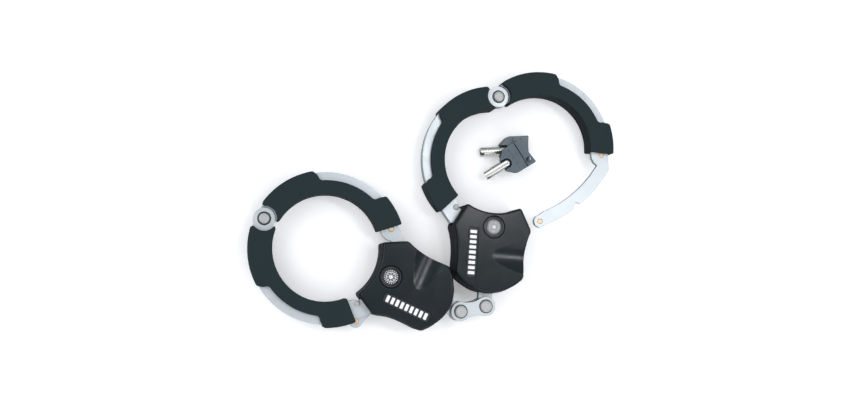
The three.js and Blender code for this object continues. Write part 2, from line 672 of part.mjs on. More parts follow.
layout.add(leftCuff, rightCuff, link);
layout.add(key('front_key', FRONT_KEY));
layout.add(key('rear_key', REAR_KEY));

// The origin is under the middle of the whole set's box.
layout.updateMatrixWorld(true);
const bounds = new THREE.Box3().setFromObject(layout, true);
const centre = bounds.getCenter(new THREE.Vector3());
layout.position.set(-centre.x, -centre.y, -bounds.min.z);

const handcuffs = new THREE.Group();
handcuffs.add(layout);
handcuffs.updateMatrixWorld(true);

export default handcuffs;
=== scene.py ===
import json
from math import atan2, cos, degrees, radians, sin, sqrt

import bmesh
import bpy
from mathutils import Matrix, Vector


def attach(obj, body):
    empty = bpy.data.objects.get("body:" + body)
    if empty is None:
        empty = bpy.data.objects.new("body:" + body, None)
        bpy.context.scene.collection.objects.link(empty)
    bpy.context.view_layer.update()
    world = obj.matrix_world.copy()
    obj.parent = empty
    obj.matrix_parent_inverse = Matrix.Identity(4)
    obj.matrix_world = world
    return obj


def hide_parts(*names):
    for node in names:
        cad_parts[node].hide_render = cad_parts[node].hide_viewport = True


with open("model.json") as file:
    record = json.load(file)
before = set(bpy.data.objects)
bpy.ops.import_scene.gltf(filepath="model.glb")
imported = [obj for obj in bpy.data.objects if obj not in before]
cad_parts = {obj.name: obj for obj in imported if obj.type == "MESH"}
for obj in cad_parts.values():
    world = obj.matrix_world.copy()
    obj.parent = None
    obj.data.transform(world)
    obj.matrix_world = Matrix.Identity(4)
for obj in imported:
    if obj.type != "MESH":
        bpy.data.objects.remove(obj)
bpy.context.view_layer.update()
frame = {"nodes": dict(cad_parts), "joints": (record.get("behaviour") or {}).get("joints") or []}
joints = {joint["name"]: joint for joint in frame["joints"]}
print("stage: frame loaded,", len(frame["nodes"]), "nodes")

# Pieces are drawn in millimetres in a cuff's own frame and put in place, in metres, when finished.
# In that frame the ring centre is the origin, +X runs to the chain pin, the swinging arm is on +Y.
millimetre = 0.001
gap = 0.3  # clearance between neighbouring pieces
closeBy = 0.01  # points nearer than this count as one place
cornerReach = 0.05  # how far a corner may lie from the place where it is looked for
outlineWeld, meshWeld = 0.02, 0.0005  # distances within which points are merged
wallSlope, capSlope = 0.5, 0.9  # upward share of a face's normal on a wall and on a cap


def polar(radius, angle, centre=(0.0, 0.0)):
    return (centre[0] + radius * cos(radians(angle)), centre[1] + radius * sin(radians(angle)))


def onlySelect(piece):
    bpy.ops.object.select_all(action="DESELECT")
    piece.select_set(True)
    bpy.context.view_layer.objects.active = piece


def startVertex(name, place):
    # one loose vertex, ready to be extruded into an outline
    bpy.ops.object.select_all(action="DESELECT")
    bpy.ops.mesh.primitive_plane_add(size=1.0, location=(0.0, 0.0, 0.0))
    piece = bpy.context.object
    piece.name = name
    bpy.ops.object.mode_set(mode="EDIT")
    bpy.ops.mesh.select_mode(type="VERT")
    bpy.ops.mesh.merge(type="CENTER")
    bpy.ops.transform.translate(value=place)
    return piece


def lineTo(x, y):
    return ("line", (x, y))


def linesTo(corners):
    return [lineTo(*corner) for corner in corners]


def rectangle(x0, y0, x1, y1):
    return [(x0, y0), (x1, y0), (x1, y1), (x0, y1)]


def arcRound(centre, sweep, parts):
    return ("arc", centre, sweep, parts)


def ringArc(radius, start, end, centre=(0.0, 0.0), stepAngle=3.0):
    # a line to the arc's start, then the arc itself
    parts = max(2, round(abs(end - start) / stepAngle))
    return [("line", polar(radius, start, centre)), ("arc", centre, end - start, parts)]


def traceOutline(name, steps, bottom):
    # steps is a list of lines and arcs; the first one is a line to the start
    x, y = steps[0][1]
    piece = startVertex(name, (x, y, bottom))
    for step in steps[1:]:
        if step[0] == "line":
            move = (step[1][0] - x, step[1][1] - y, 0.0)
            bpy.ops.mesh.extrude_region_move(TRANSFORM_OT_translate={"value": move})
            x, y = step[1]
        else:
            _, (cx, cy), sweep, parts = step
            # about a downward axis a positive angle turns anticlockwise
            bpy.ops.mesh.spin(steps=parts, angle=radians(sweep), center=(cx, cy, bottom),
                              axis=(0.0, 0.0, -1.0))
            reach = sqrt((x - cx) ** 2 + (y - cy) ** 2)
            x, y = polar(reach, degrees(atan2(y - cy, x - cx)) + sweep, (cx, cy))
    bpy.ops.mesh.select_all(action="SELECT")
    bpy.ops.mesh.remove_doubles(threshold=outlineWeld)
    bpy.ops.mesh.edge_face_add()
    return piece


def pick(piece, kind, wanted):
    # in edit mode, selects what wanted() accepts and says how many there are
    bpy.ops.mesh.select_mode(type=kind)
    bpy.ops.mesh.select_all(action="DESELECT")
    mesh = bmesh.from_edit_mesh(piece.data)
    mesh.normal_update()
    group = {"VERT": mesh.verts, "EDGE": mesh.edges, "FACE": mesh.faces}[kind]
    count = 0
    for item in group:
        if wanted(item):
            item.select_set(True)
            count += 1
    mesh.select_flush_mode()
    bmesh.update_edit_mesh(piece.data)
    return count


def roundCorners(piece, corners, offset, parts):
    # rounds corners of a flat outline
    def near(vertex):
        return any((vertex.co.xy - Vector(corner)).length < cornerReach for corner in corners)
    if pick(piece, "VERT", near):
        bpy.ops.mesh.bevel(offset=offset, segments=parts, affect="VERTICES", clamp_overlap=True)


def thicken(piece, height):
    bpy.ops.mesh.select_all(action="SELECT")
    bpy.ops.mesh.extrude_region_move(TRANSFORM_OT_translate={"value": (0.0, 0.0, height)})
    faceOutwards()
    bpy.ops.object.mode_set(mode="OBJECT")
    return piece


def faceOutwards():
    bpy.ops.mesh.select_all(action="SELECT")
    bpy.ops.mesh.remove_doubles(threshold=meshWeld)
    bpy.ops.mesh.normals_make_consistent(inside=False)


def prism(name, steps, bottom, top, corners=(), offset=0.0, parts=3):
    piece = traceOutline(name, steps, bottom)
    if corners:
        roundCorners(piece, corners, offset, parts)
    return thicken(piece, top - bottom)


def bevelEdges(piece, wanted, offset, parts):
    onlySelect(piece)
    bpy.ops.object.mode_set(mode="EDIT")
    if pick(piece, "EDGE", wanted):
        bpy.ops.mesh.bevel(offset=offset, segments=parts, affect="EDGES", clamp_overlap=True)
    bpy.ops.object.mode_set(mode="OBJECT")
    return piece


def roundRims(piece, offset, parts=3, level=None):
    # rounds the edges between flat caps and upright walls
    def rim(edge):
        if len(edge.link_faces) != 2:
            return False
        slopes = sorted(abs(face.normal.z) for face in edge.link_faces)
        if slopes[0] > wallSlope or slopes[1] < capSlope:
            return False
        return level is None or abs(edge.verts[0].co.z - level) < closeBy
    return bevelEdges(piece, rim, offset, parts)


def roundUprights(piece, offset, parts=3, sharper=25.0):
    # rounds upright edges where two walls meet at a clear angle
    def upright(edge):
        a, b = edge.verts
        if (a.co.xy - b.co.xy).length > closeBy or len(edge.link_faces) != 2:
            return False
        return abs(degrees(edge.calc_face_angle(0.0))) > sharper
    return bevelEdges(piece, upright, offset, parts)


def turned(name, profile, parts=48, centre=(0.0, 0.0)):
    # a profile of (radius, height) corners spun about an upright axis
    piece = startVertex(name, (profile[0][0], 0.0, profile[0][1]))
    for before, after in zip(profile, profile[1:]):
        move = (after[0] - before[0], 0.0, after[1] - before[1])
        bpy.ops.mesh.extrude_region_move(TRANSFORM_OT_translate={"value": move})
    bpy.ops.mesh.select_all(action="SELECT")
    bpy.ops.mesh.spin(steps=parts, angle=radians(360.0), center=(0.0, 0.0, 0.0), axis=(0.0, 0.0, 1.0))
    faceOutwards()
    bpy.ops.mesh.select_all(action="SELECT")
    bpy.ops.transform.translate(value=(centre[0], centre[1], 0.0))
    bpy.ops.object.mode_set(mode="OBJECT")
    return piece


def hoop(name, inner, outer, low, high, centre, parts=56):
    # a ring with a square section
    return turned(name, [*rectangle(inner, low, outer, high), (inner, low)], parts, centre)


def block(name, low, high):
    bpy.ops.object.select_all(action="DESELECT")
    middle = [(a + b) / 2 for a, b in zip(low, high)]
    bpy.ops.mesh.primitive_cube_add(size=1.0, location=middle, scale=[b - a for a, b in zip(low, high)])
    piece = bpy.context.object
    piece.name = name
    bpy.ops.object.transform_apply(location=True, rotation=True, scale=True)
    return piece


def copyOf(piece, name):
    twin = piece.copy()
    twin.data = piece.data.copy()
    twin.name = name
    bpy.context.scene.collection.objects.link(twin)
    return twin


def cutAway(piece, *cutters, keep=False):
    for cutter in cutters:
        cut = piece.modifiers.new("cut", "BOOLEAN")
        cut.operation = "DIFFERENCE"
        cut.solver = "EXACT"
        cut.object = cutter
        onlySelect(piece)
        bpy.ops.object.modifier_apply(modifier=cut.name)
        if not keep:
            bpy.data.objects.remove(cutter)
    return piece


def drill(piece, centre, radius, low, high, parts=40):
    return cutAway(piece, turned("drill", rectangle(0, low, radius, high), parts, centre))


def flipped(piece):
    # the same piece on the other side of the cuff's centre line
    onlySelect(piece)
    bpy.ops.object.mode_set(mode="EDIT")
    bpy.ops.mesh.select_all(action="SELECT")
    bpy.ops.transform.resize(value=(1.0, -1.0, 1.0), center_override=(0.0, 0.0, 0.0))
    bpy.ops.mesh.normals_make_consistent(inside=False)
    bpy.ops.object.mode_set(mode="OBJECT")
    return piece


def moved(piece, matrix):
    piece.matrix_world = matrix
    onlySelect(piece)
    bpy.ops.object.transform_apply(location=True, rotation=True, scale=True)
    return piece


def lifted(piece, height):
    return moved(piece, Matrix.Translation((0.0, 0.0, height)))


def joined(pieces, name):
    bpy.ops.object.select_all(action="DESELECT")
    for piece in pieces:
        piece.select_set(True)
    bpy.context.view_layer.objects.active = pieces[0]
    bpy.ops.object.join()
    pieces[0].name = name
    return pieces[0]


def smooth(piece, angle=32.0):
    # rounded edges shade smoothly while large faces stay flat
    onlySelect(piece)
    bpy.ops.object.shade_smooth_by_angle(angle=radians(angle))
    even = piece.modifiers.new("even", "WEIGHTED_NORMAL")
    even.mode = "FACE_AREA"
    even.weight = 80
    even.keep_sharp = True
    bpy.ops.object.modifier_apply(modifier=even.name)
    return piece


def newGroup(name, inputs, outputs):
    group = bpy.data.node_groups.new(name, "ShaderNodeTree")
    for label, kind, value in inputs:
        socket = group.interface.new_socket(name=label, in_out="INPUT", socket_type=kind)
        socket.default_value = value
    for label, kind in outputs:
        group.interface.new_socket(name=label, in_out="OUTPUT", socket_type=kind)
    return group, group.nodes.new("NodeGroupInput"), group.nodes.new("NodeGroupOutput")


def addNode(tree, kind, settings=None, values=None):
    node = tree.nodes.new(kind)
    for key, value in (settings or {}).items():
        setattr(node, key, value)
    for key, value in (values or {}).items():
        node.inputs[key].default_value = value
    return node


def noiseNode(tree, detail, roughness):
    return addNode(tree, "ShaderNodeTexNoise", None, {"Detail": detail, "Roughness": roughness})


def wire(tree, *joins):
    # each join is a node, its output, another node and its input
    for source, output, target, entry in joins:
        tree.links.new(source.outputs[output], target.inputs[entry])


def buildEdgeWearAndPaintedLight():
    # bright or dark colour where the surface turns sharply, broken up by noise: real edge wear on most
    # finishes, painted shade on the zinc plates and a painted highlight on the key bows
    group, given, result = newGroup("edgeWearAndPaintedLight", [
        ("Width", "NodeSocketFloat", 0.0005), ("Amount", "NodeSocketFloat", 1.0),
        ("Breakup", "NodeSocketFloat", 400.0)], [("Mask", "NodeSocketFloat")])
    coords = addNode(group, "ShaderNodeTexCoord")
    rounded = addNode(group, "ShaderNodeBevel", {"samples": 4})
    plain = addNode(group, "ShaderNodeNewGeometry")
    turn = addNode(group, "ShaderNodeVectorMath", {"operation": "DOT_PRODUCT"})
    ramp = addNode(group, "ShaderNodeMapRange", None, {"From Min": 0.985, "From Max": 0.87})
    patches = noiseNode(group, 4.0, 0.62)
    gate = addNode(group, "ShaderNodeMapRange", None, {"From Min": 0.40, "From Max": 0.62})
    both = addNode(group, "ShaderNodeMath", {"operation": "MULTIPLY"})
    scaled = addNode(group, "ShaderNodeMath", {"operation": "MULTIPLY", "use_clamp": True})
    wire(group, (given, "Width", rounded, "Radius"), (rounded, "Normal", turn, 0),
         (plain, "Normal", turn, 1), (turn, "Value", ramp, "Value"),
         (coords, "Object", patches, "Vector"), (given, "Breakup", patches, "Scale"),
         (patches, "Fac", gate, "Value"), (ramp, "Result", both, 0), (gate, "Result", both, 1),
         (both, "Value", scaled, 0), (given, "Amount", scaled, 1), (scaled, "Value", result, "Mask"))
    return group


def buildGrain():
    # moulded or cast grain: fine pits over a coarser unevenness
    group, given, result = newGroup("mouldGrain", [
        ("Fine", "NodeSocketFloat", 4000.0), ("Coarse", "NodeSocketFloat", 300.0),
        ("Share", "NodeSocketFloat", 0.5)], [("Height", "NodeSocketFloat"), ("Pits", "NodeSocketFloat")])
    coords = addNode(group, "ShaderNodeTexCoord")
    fine = noiseNode(group, 3.0, 0.55)
    coarse = noiseNode(group, 2.0, 0.5)
    cells = addNode(group, "ShaderNodeTexVoronoi", {"feature": "SMOOTH_F1"}, {"Smoothness": 0.6})
    blend = addNode(group, "ShaderNodeMix", {"data_type": "FLOAT"})
    total = addNode(group, "ShaderNodeMath", {"operation": "ADD"})
    for texture, size in ((fine, "Fine"), (coarse, "Coarse"), (cells, "Fine")):
        wire(group, (coords, "Object", texture, "Vector"), (given, size, texture, "Scale"))
    wire(group, (given, "Share", blend, 0), (fine, "Fac", blend, 2), (cells, "Distance", blend, 3),
         (blend, 0, total, 0), (coarse, "Fac", total, 1), (total, "Value", result, "Height"),
         (cells, "Distance", result, "Pits"))
    return group


def buildHandling():
    # faint smears left by handling: large soft patches with finer streaks in them
    group, given, result = newGroup("handling", [
        ("Size", "NodeSocketFloat", 40.0), ("Low", "NodeSocketFloat", 0.3),
        ("High", "NodeSocketFloat", 0.45)], [("Value", "NodeSocketFloat"), ("Patch", "NodeSocketFloat")])
    coords = addNode(group, "ShaderNodeTexCoord")
    patches = addNode(group, "ShaderNodeTexNoise", None,
                      {"Detail": 5.0, "Roughness": 0.6, "Distortion": 0.8})
    spread = addNode(group, "ShaderNodeMapRange", None, {"From Min": 0.35, "From Max": 0.65})
    wire(group, (coords, "Object", patches, "Vector"), (given, "Size", patches, "Scale"),
         (patches, "Fac", spread, "Value"), (given, "Low", spread, "To Min"),
         (given, "High", spread, "To Max"), (spread, "Result", result, "Value"),
         (patches, "Fac", result, "Patch"))
    return group


def buildBrushing():
    # fine parallel scratches along one direction
    group, given, result = newGroup("brushing", [
        ("Along", "NodeSocketFloat", 60.0), ("Across", "NodeSocketFloat", 5000.0),
        ("Turn", "NodeSocketVector", (0.0, 0.0, 0.0))], [("Lines", "NodeSocketFloat")])
    coords = addNode(group, "ShaderNodeTexCoord")
    turnMap = addNode(group, "ShaderNodeMapping")
    stretch = addNode(group, "ShaderNodeCombineXYZ")
    scaled = addNode(group, "ShaderNodeVectorMath", {"operation": "MULTIPLY"})
    lines = addNode(group, "ShaderNodeTexNoise", None, {"Scale": 1.0, "Detail": 3.0, "Roughness": 0.6})
    wire(group, (coords, "Object", turnMap, "Vector"), (given, "Turn", turnMap, "Rotation"),
         (given, "Along", stretch, "X"), (given, "Across", stretch, "Y"), (given, "Across", stretch, "Z"),
         (turnMap, "Vector", scaled, 0), (stretch, "Vector", scaled, 1),
         (scaled, "Vector", lines, "Vector"), (lines, "Fac", result, "Lines"))
    return group


edgeWearAndPaintedLight = buildEdgeWearAndPaintedLight()
mouldGrain = buildGrain()
handling = buildHandling()
brushing = buildBrushing()


def placeGroup(tree, group, **values):
    node = tree.nodes.new("ShaderNodeGroup")
    node.node_tree = group
    for key, value in values.items():
        node.inputs[key].default_value = value
    return node


def mixColour(tree, first, second, factor):
    # first is a fixed colour or a socket, and factor is a socket
    mix = addNode(tree, "ShaderNodeMix", {"data_type": "RGBA"}, {"B": (*second, 1.0)})
    if isinstance(first, tuple):
        mix.inputs["A"].default_value = (*first, 1.0)
    else:
        tree.links.new(first, mix.inputs["A"])
    tree.links.new(factor, mix.inputs["Factor"])
    return mix.outputs["Result"]


def scaledAdd(tree, scale):
    # a node that gives scale times its first input, plus its last
    node = addNode(tree, "ShaderNodeMath", {"operation": "MULTIPLY_ADD"})
    node.inputs[1].default_value = scale
    return node


def finish(name, look):
    # one material: base colour in patches, wear, painted edge shade and painted edge highlights on edges,
    # grain, scratches, uneven roughness
    material = bpy.data.materials.new(name)
    material.use_nodes = True
    tree = material.node_tree
    shader = tree.nodes["Principled BSDF"]
    shader.inputs["Metallic"].default_value = look.get("metallic", 0.0)
    shader.inputs["IOR"].default_value = look.get("ior", 1.5)
    low, high = look["gloss"]
    smears = placeGroup(tree, handling, Size=look["smear"], Low=low, High=high)
    fine, coarse, share = look["grain"]
    grain = placeGroup(tree, mouldGrain, Fine=fine, Coarse=coarse, Share=share)
    width, amount, breakup = look["wearAndPaintedLight"]
    wearAndPaintedLight = placeGroup(tree, edgeWearAndPaintedLight, Width=width, Amount=amount, Breakup=breakup)
    colour = mixColour(tree, look["colour"], look["patchColour"], smears.outputs["Patch"])
    colour = mixColour(tree, colour, look["wearAndPaintedLightColour"], wearAndPaintedLight.outputs["Mask"])
    strength, depth = look["bump"]
    relief = addNode(tree, "ShaderNodeBump", None, {"Strength": strength, "Distance": depth})
    rough = scaledAdd(tree, look.get("pitGloss", 0.08))
    wire(tree, (grain, "Height", relief, "Height"), (grain, "Pits", rough, 0),
         (smears, "Value", rough, 2))
    if "brush" in look:
        along, across, lean, scratchStrength, streakGloss = look["brush"]
        lines = placeGroup(tree, brushing, Along=along, Across=across, Turn=(0.0, 0.0, radians(lean)))
        scratches = addNode(tree, "ShaderNodeBump", None,
                            {"Strength": scratchStrength, "Distance": scratchDepth})
        streaks = scaledAdd(tree, streakGloss)
        wire(tree, (lines, "Lines", scratches, "Height"), (relief, "Normal", scratches, "Normal"),
             (lines, "Lines", streaks, 0), (rough, "Value", streaks, 2))
        relief, rough = scratches, streaks
    wire(tree, (rough, "Value", shader, "Roughness"), (relief, "Normal", shader, "Normal"))
    tree.links.new(colour, shader.inputs["Base Color"])
    return material


# In each finish: gloss is the lowest and highest roughness, grain is fine scale, coarse scale and share,
# bump is strength and depth, wearAndPaintedLight is width, amount and breakup of the edge mask that carries
# real wear, painted edge shade and painted edge highlights, smear is the scale of the patches, and brush is
# scale along and across the lines, their angle, the strength of the scratches and what they add to the
# roughness.
scratchDepth = 0.00002
finishes = {
    "coverPlastic": {
        "colour": (0.003, 0.008, 0.011), "patchColour": (0.006, 0.012, 0.015),
        "wearAndPaintedLightColour": (0.040, 0.054, 0.062), "gloss": (0.16, 0.23), "smear": 55.0,
        "grain": (3200.0, 160.0, 0.35), "bump": (0.12, 0.00005), "wearAndPaintedLight": (0.0005, 0.5, 500.0),
        "pitGloss": 0.04, "ior": 1.34},
    # painted shade: the cover's walls get a darker colour and a low IOR that dims their reflection, on a
    # duller moulded finish
    "coverWallPaintedShade": {
        "colour": (0.004, 0.007, 0.009), "patchColour": (0.007, 0.011, 0.013),
        "wearAndPaintedLightColour": (0.016, 0.022, 0.026), "gloss": (0.48, 0.60), "smear": 55.0,
        "grain": (3200.0, 160.0, 0.35), "bump": (0.30, 0.00006), "wearAndPaintedLight": (0.0004, 0.5, 500.0),
        "ior": 1.10},
    "sleevePlastic": {
        "colour": (0.007, 0.017, 0.020), "patchColour": (0.011, 0.023, 0.027),
        "wearAndPaintedLightColour": (0.055, 0.078, 0.086), "gloss": (0.46, 0.58), "smear": 45.0,
        "grain": (2600.0, 220.0, 0.55), "bump": (0.40, 0.00009), "wearAndPaintedLight": (0.0005, 0.55, 450.0),
        "ior": 1.28},
    # painted shade: the sleeves' walls get a darker colour and a low IOR that dims their reflection, on a
    # duller moulded finish
    "sleeveWallPaintedShade": {
        "colour": (0.005, 0.009, 0.011), "patchColour": (0.008, 0.013, 0.015),
        "wearAndPaintedLightColour": (0.020, 0.028, 0.032), "gloss": (0.55, 0.66), "smear": 45.0,
        "grain": (2600.0, 220.0, 0.55), "bump": (0.40, 0.00009), "wearAndPaintedLight": (0.0004, 0.5, 450.0),
        "ior": 1.12},
    # its darker edge colour is painted shade, a dark outline along the plate edges
    "zincPlate": {
        "colour": (0.48, 0.53, 0.555), "patchColour": (0.57, 0.61, 0.635),
        "wearAndPaintedLightColour": (0.34, 0.38, 0.40), "gloss": (0.20, 0.30), "smear": 120.0,
        "grain": (900.0, 240.0, 0.7), "bump": (0.05, 0.00003), "wearAndPaintedLight": (0.0003, 0.7, 300.0),
        "metallic": 0.36, "brush": (90.0, 5200.0, 35.0, 0.35, 0.10)},
    # painted shade: the plates' side walls get a much darker colour than their faces
    "zincEdgePaintedShade": {
        "colour": (0.12, 0.14, 0.15), "patchColour": (0.18, 0.20, 0.22),
        "wearAndPaintedLightColour": (0.40, 0.44, 0.46), "gloss": (0.34, 0.46), "smear": 120.0,
        "grain": (1400.0, 240.0, 0.7), "bump": (0.30, 0.00006), "wearAndPaintedLight": (0.0002, 0.5, 300.0),
        "metallic": 0.5},
    "turnedSteel": {
        "colour": (0.38, 0.385, 0.38), "patchColour": (0.47, 0.475, 0.47),
        "wearAndPaintedLightColour": (0.66, 0.66, 0.65), "gloss": (0.34, 0.46), "smear": 260.0,
        "grain": (2400.0, 500.0, 0.5), "bump": (0.20, 0.00003), "wearAndPaintedLight": (0.0003, 0.6, 900.0),
        "metallic": 0.55, "brush": (300.0, 6000.0, 80.0, 0.3, 0.08)},
    "peenedBrass": {
        "colour": (0.72, 0.50, 0.31), "patchColour": (0.80, 0.60, 0.40),
        "wearAndPaintedLightColour": (0.88, 0.74, 0.56), "gloss": (0.34, 0.46), "smear": 380.0,
        "grain": (1500.0, 700.0, 0.8), "bump": (0.45, 0.00008), "wearAndPaintedLight": (0.0003, 0.5, 900.0),
        "metallic": 0.7},
    "greyCasting": {
        "colour": (0.26, 0.27, 0.29), "patchColour": (0.34, 0.35, 0.37),
        "wearAndPaintedLightColour": (0.55, 0.56, 0.58), "gloss": (0.42, 0.58), "smear": 90.0,
        "grain": (1400.0, 350.0, 0.6), "bump": (0.6, 0.00012), "wearAndPaintedLight": (0.0004, 0.6, 500.0),
        "metallic": 0.85},
    "blackRing": {
        "colour": (0.008, 0.010, 0.012), "patchColour": (0.014, 0.017, 0.019),
        "wearAndPaintedLightColour": (0.12, 0.13, 0.14), "gloss": (0.20, 0.30), "smear": 180.0,
        "grain": (2600.0, 400.0, 0.4), "bump": (0.12, 0.00004), "wearAndPaintedLight": (0.0002, 0.7, 900.0)},
    "platedFlap": {
        "colour": (0.60, 0.62, 0.65), "patchColour": (0.74, 0.76, 0.79),
        "wearAndPaintedLightColour": (0.90, 0.91, 0.92), "gloss": (0.26, 0.38), "smear": 300.0,
        "grain": (2200.0, 600.0, 0.5), "bump": (0.25, 0.00003), "wearAndPaintedLight": (0.0002, 0.7, 900.0),
        "metallic": 0.35},
    "springWire": {
        "colour": (0.50, 0.52, 0.54), "patchColour": (0.60, 0.62, 0.64),
        "wearAndPaintedLightColour": (0.80, 0.80, 0.80), "gloss": (0.28, 0.40), "smear": 200.0,
        "grain": (3000.0, 500.0, 0.5), "bump": (0.15, 0.00003), "wearAndPaintedLight": (0.0001, 0.4, 900.0),
        "metallic": 0.9},
    "labelBlack": {
        "colour": (0.006, 0.008, 0.009), "patchColour": (0.010, 0.012, 0.013),
        "wearAndPaintedLightColour": (0.06, 0.07, 0.075), "gloss": (0.34, 0.44), "smear": 90.0,
        "grain": (3000.0, 300.0, 0.5), "bump": (0.2, 0.00004), "wearAndPaintedLight": (0.0003, 0.4, 700.0)},
    "labelLight": {
        "colour": (0.80, 0.82, 0.83), "patchColour": (0.88, 0.89, 0.90),
        "wearAndPaintedLightColour": (0.46, 0.48, 0.49), "gloss": (0.40, 0.52), "smear": 160.0,
        "grain": (3400.0, 400.0, 0.5), "bump": (0.15, 0.00003), "wearAndPaintedLight": (0.0002, 0.4, 900.0)},
    "keyNickel": {
        "colour": (0.50, 0.52, 0.50), "patchColour": (0.62, 0.64, 0.62),
        "wearAndPaintedLightColour": (0.30, 0.31, 0.30), "gloss": (0.14, 0.24), "smear": 160.0,
        "grain": (2600.0, 500.0, 0.5), "bump": (0.15, 0.00003), "wearAndPaintedLight": (0.0003, 0.6, 900.0),
        "metallic": 0.95, "brush": (140.0, 5200.0, 32.0, 0.25, 0.08)},
    # its light edge colour is a painted highlight along the bow's rounded edges
    "keyPlastic": {
        "colour": (0.062, 0.084, 0.102), "patchColour": (0.110, 0.142, 0.168),
        "wearAndPaintedLightColour": (0.34, 0.40, 0.44), "gloss": (0.24, 0.36), "smear": 100.0,
        "grain": (2400.0, 260.0, 0.5), "bump": (0.3, 0.00006), "wearAndPaintedLight": (0.0006, 0.9, 600.0)},
    # painted shade: the bows' side walls get a much darker colour than their faces
    "keyWallPaintedShade": {
        "colour": (0.012, 0.016, 0.020), "patchColour": (0.020, 0.026, 0.031),
        "wearAndPaintedLightColour": (0.10, 0.12, 0.14), "gloss": (0.34, 0.46), "smear": 100.0,
        "grain": (2400.0, 260.0, 0.5), "bump": (0.3, 0.00006), "wearAndPaintedLight": (0.0004, 0.6, 600.0),
        "ior": 1.25},
}
coatings = {name: finish(name, look) for name, look in finishes.items()}
# each finish's painted-shade partner, used on its upright walls
paintedShadeWalls = {"coverPlastic": "coverWallPaintedShade", "sleevePlastic": "sleeveWallPaintedShade", "zincPlate": "zincEdgePaintedShade",
                "keyPlastic": "keyWallPaintedShade"}
uprightLimit = 0.55  # faces steeper than this count as walls
print("stage: materials ready,", len(coatings))


ring = {"inner": 38.0, "steelIn": 40.2, "steelOut": 54.0, "outer": 56.2, "pivotOuter": 55.2}
pivot = (-48.3, 0.0)
pivotSize = {
    "knuckle": 7.7, "clear": 8.4, "sleeveClear": 8.8, "pin": 2.6, "head": 3.7,
    "bottom": 7.5, "under": 9.3, "over": 17.7, "top": 19.5}
levels = {
    "body": (0.0, 27.0), "split": 13.5, "sleeve": (6.0, 21.0), "cavity": (4.5, 22.5),
    "plateLow": 9.6, "plateHigh": 15.7, "plate": 1.7, "tailLow": 11.6, "tailHigh": 13.65, "tail": 1.75,
    "tongue": (10.5, 16.5), "linkLow": 7.0, "linkHigh": 17.0, "link": 3.0}
chainPin = (106.7, 0.0)


def crossing(ringRadius, pivotRadius):
    # angles, about the ring centre and about the pivot, of the point where the two circles meet
    x = (ringRadius ** 2 + pivot[0] ** 2 - pivotRadius ** 2) / (2 * pivot[0])
    y = sqrt(ringRadius ** 2 - x ** 2)
    return degrees(atan2(y, x)), degrees(atan2(y, x - pivot[0]))


def knuckleEnd():
    ringAngle, pivotAngle = crossing(ring["steelOut"], pivotSize["knuckle"])
    return ringAngle, ringArc(pivotSize["knuckle"], pivotAngle, 360.0, pivot, 9.0)


def hollowEnd():
    outerRing, outerPivot = crossing(ring["steelOut"], pivotSize["clear"])
    _, innerPivot = crossing(ring["steelIn"], pivotSize["clear"])
    return outerRing, ringArc(pivotSize["clear"], outerPivot, innerPivot, pivot, 9.0)


# the flat strips that follow the ring; "tab" holds the angles where its two edges give way to a tab
stripShape = {
    "start": 172.0, "tab": (46.0, 42.5), "swing": (47.0, 47.0), "spacer": (50.0, 50.0),
    "corner": 0.4, "tabCorner": 0.5, "edge": 0.22}


def strip(end, base, angles):
    # inner edge, base, outer edge, pivot end
    return [*ringArc(ring["steelIn"], stripShape["start"], angles[0]), *base,
            *ringArc(ring["steelOut"], angles[1], end[0]), *end[1]]


def hollowStrip(name, angles, bottom, top, mirrored=False):
    # a plain strip that leaves room for the knuckle
    piece = prism(name, strip(hollowEnd(), [], angles), bottom, top)
    if mirrored:
        flipped(piece)
    roundUprights(piece, stripShape["corner"], 2, 40.0)
    return smooth(roundRims(piece, stripShape["edge"], 2))


tailShape = {
    "inner": 91.6, "outer": 101.3, "innerFrom": 15.6, "innerTo": -19.5, "outerFrom": -20.3, "outerTo": 16.2,
    "tipAt": 97.4, "tipAngle": -22.9, "tip": 4.6, "rivet": 1.9,
    "notchFrom": -2.6, "notchDeep": -4.4, "notchTo": -6.8, "notchRadius": 97.8,
    "tabInner": [(28.6, 28.4), (33.3, 24.8), (36.9, 24.0)], "tabOuter": (48.2, 29.8),
    "tabRivet": (36.2, 32.4), "play": 0.12,
    "channelIn": 91.1, "channelOut": 102.4, "channelFrom": 30.0, "channelTo": -27.0, "room": 0.4}
tailTip = polar(tailShape["tipAt"], tailShape["tipAngle"], pivot)


def makeTailPlate():
    t = tailShape
    notch = polar(t["notchRadius"], t["notchDeep"], pivot)
    base = [
        *linesTo(t["tabInner"]),
        *ringArc(t["inner"], t["innerFrom"], t["innerTo"], pivot, 1.5),
        *ringArc(t["tip"], 175.0 + t["tipAngle"], 355.0 + t["tipAngle"], tailTip, 9.0),
        *ringArc(t["outer"], t["outerFrom"], t["notchTo"], pivot, 1.5),
        lineTo(*notch),
        *ringArc(t["outer"], t["notchFrom"], t["outerTo"], pivot, 1.5),
        lineTo(*t["tabOuter"])]
    corner = stripShape["tabCorner"]
    plate = prism("tailPlate", strip(knuckleEnd(), base, stripShape["tab"]), 0.0, levels["tail"],
                  [notch], corner, 3)
    roundUprights(plate, corner, 3, 30.0)
    roundRims(plate, stripShape["edge"], 2)
    for centre, radius in ((pivot, pivotSize["pin"]), (tailTip, t["rivet"]), (t["tabRivet"], t["rivet"])):
        drill(plate, centre, radius + t["play"], -1, 3)
    return smooth(plate)


sleeveShape = {
    "end": 43.0, "floor": 48.0, "step": 51.5, "bevel": 0.75, "corner": 1.0, "floorCorner": 2.2,
    "baseOuter": 66.5, "baseStep": 69.5, "pivotOuter": 126.0, "pivotStep": 122.5, "tip": 11.2}


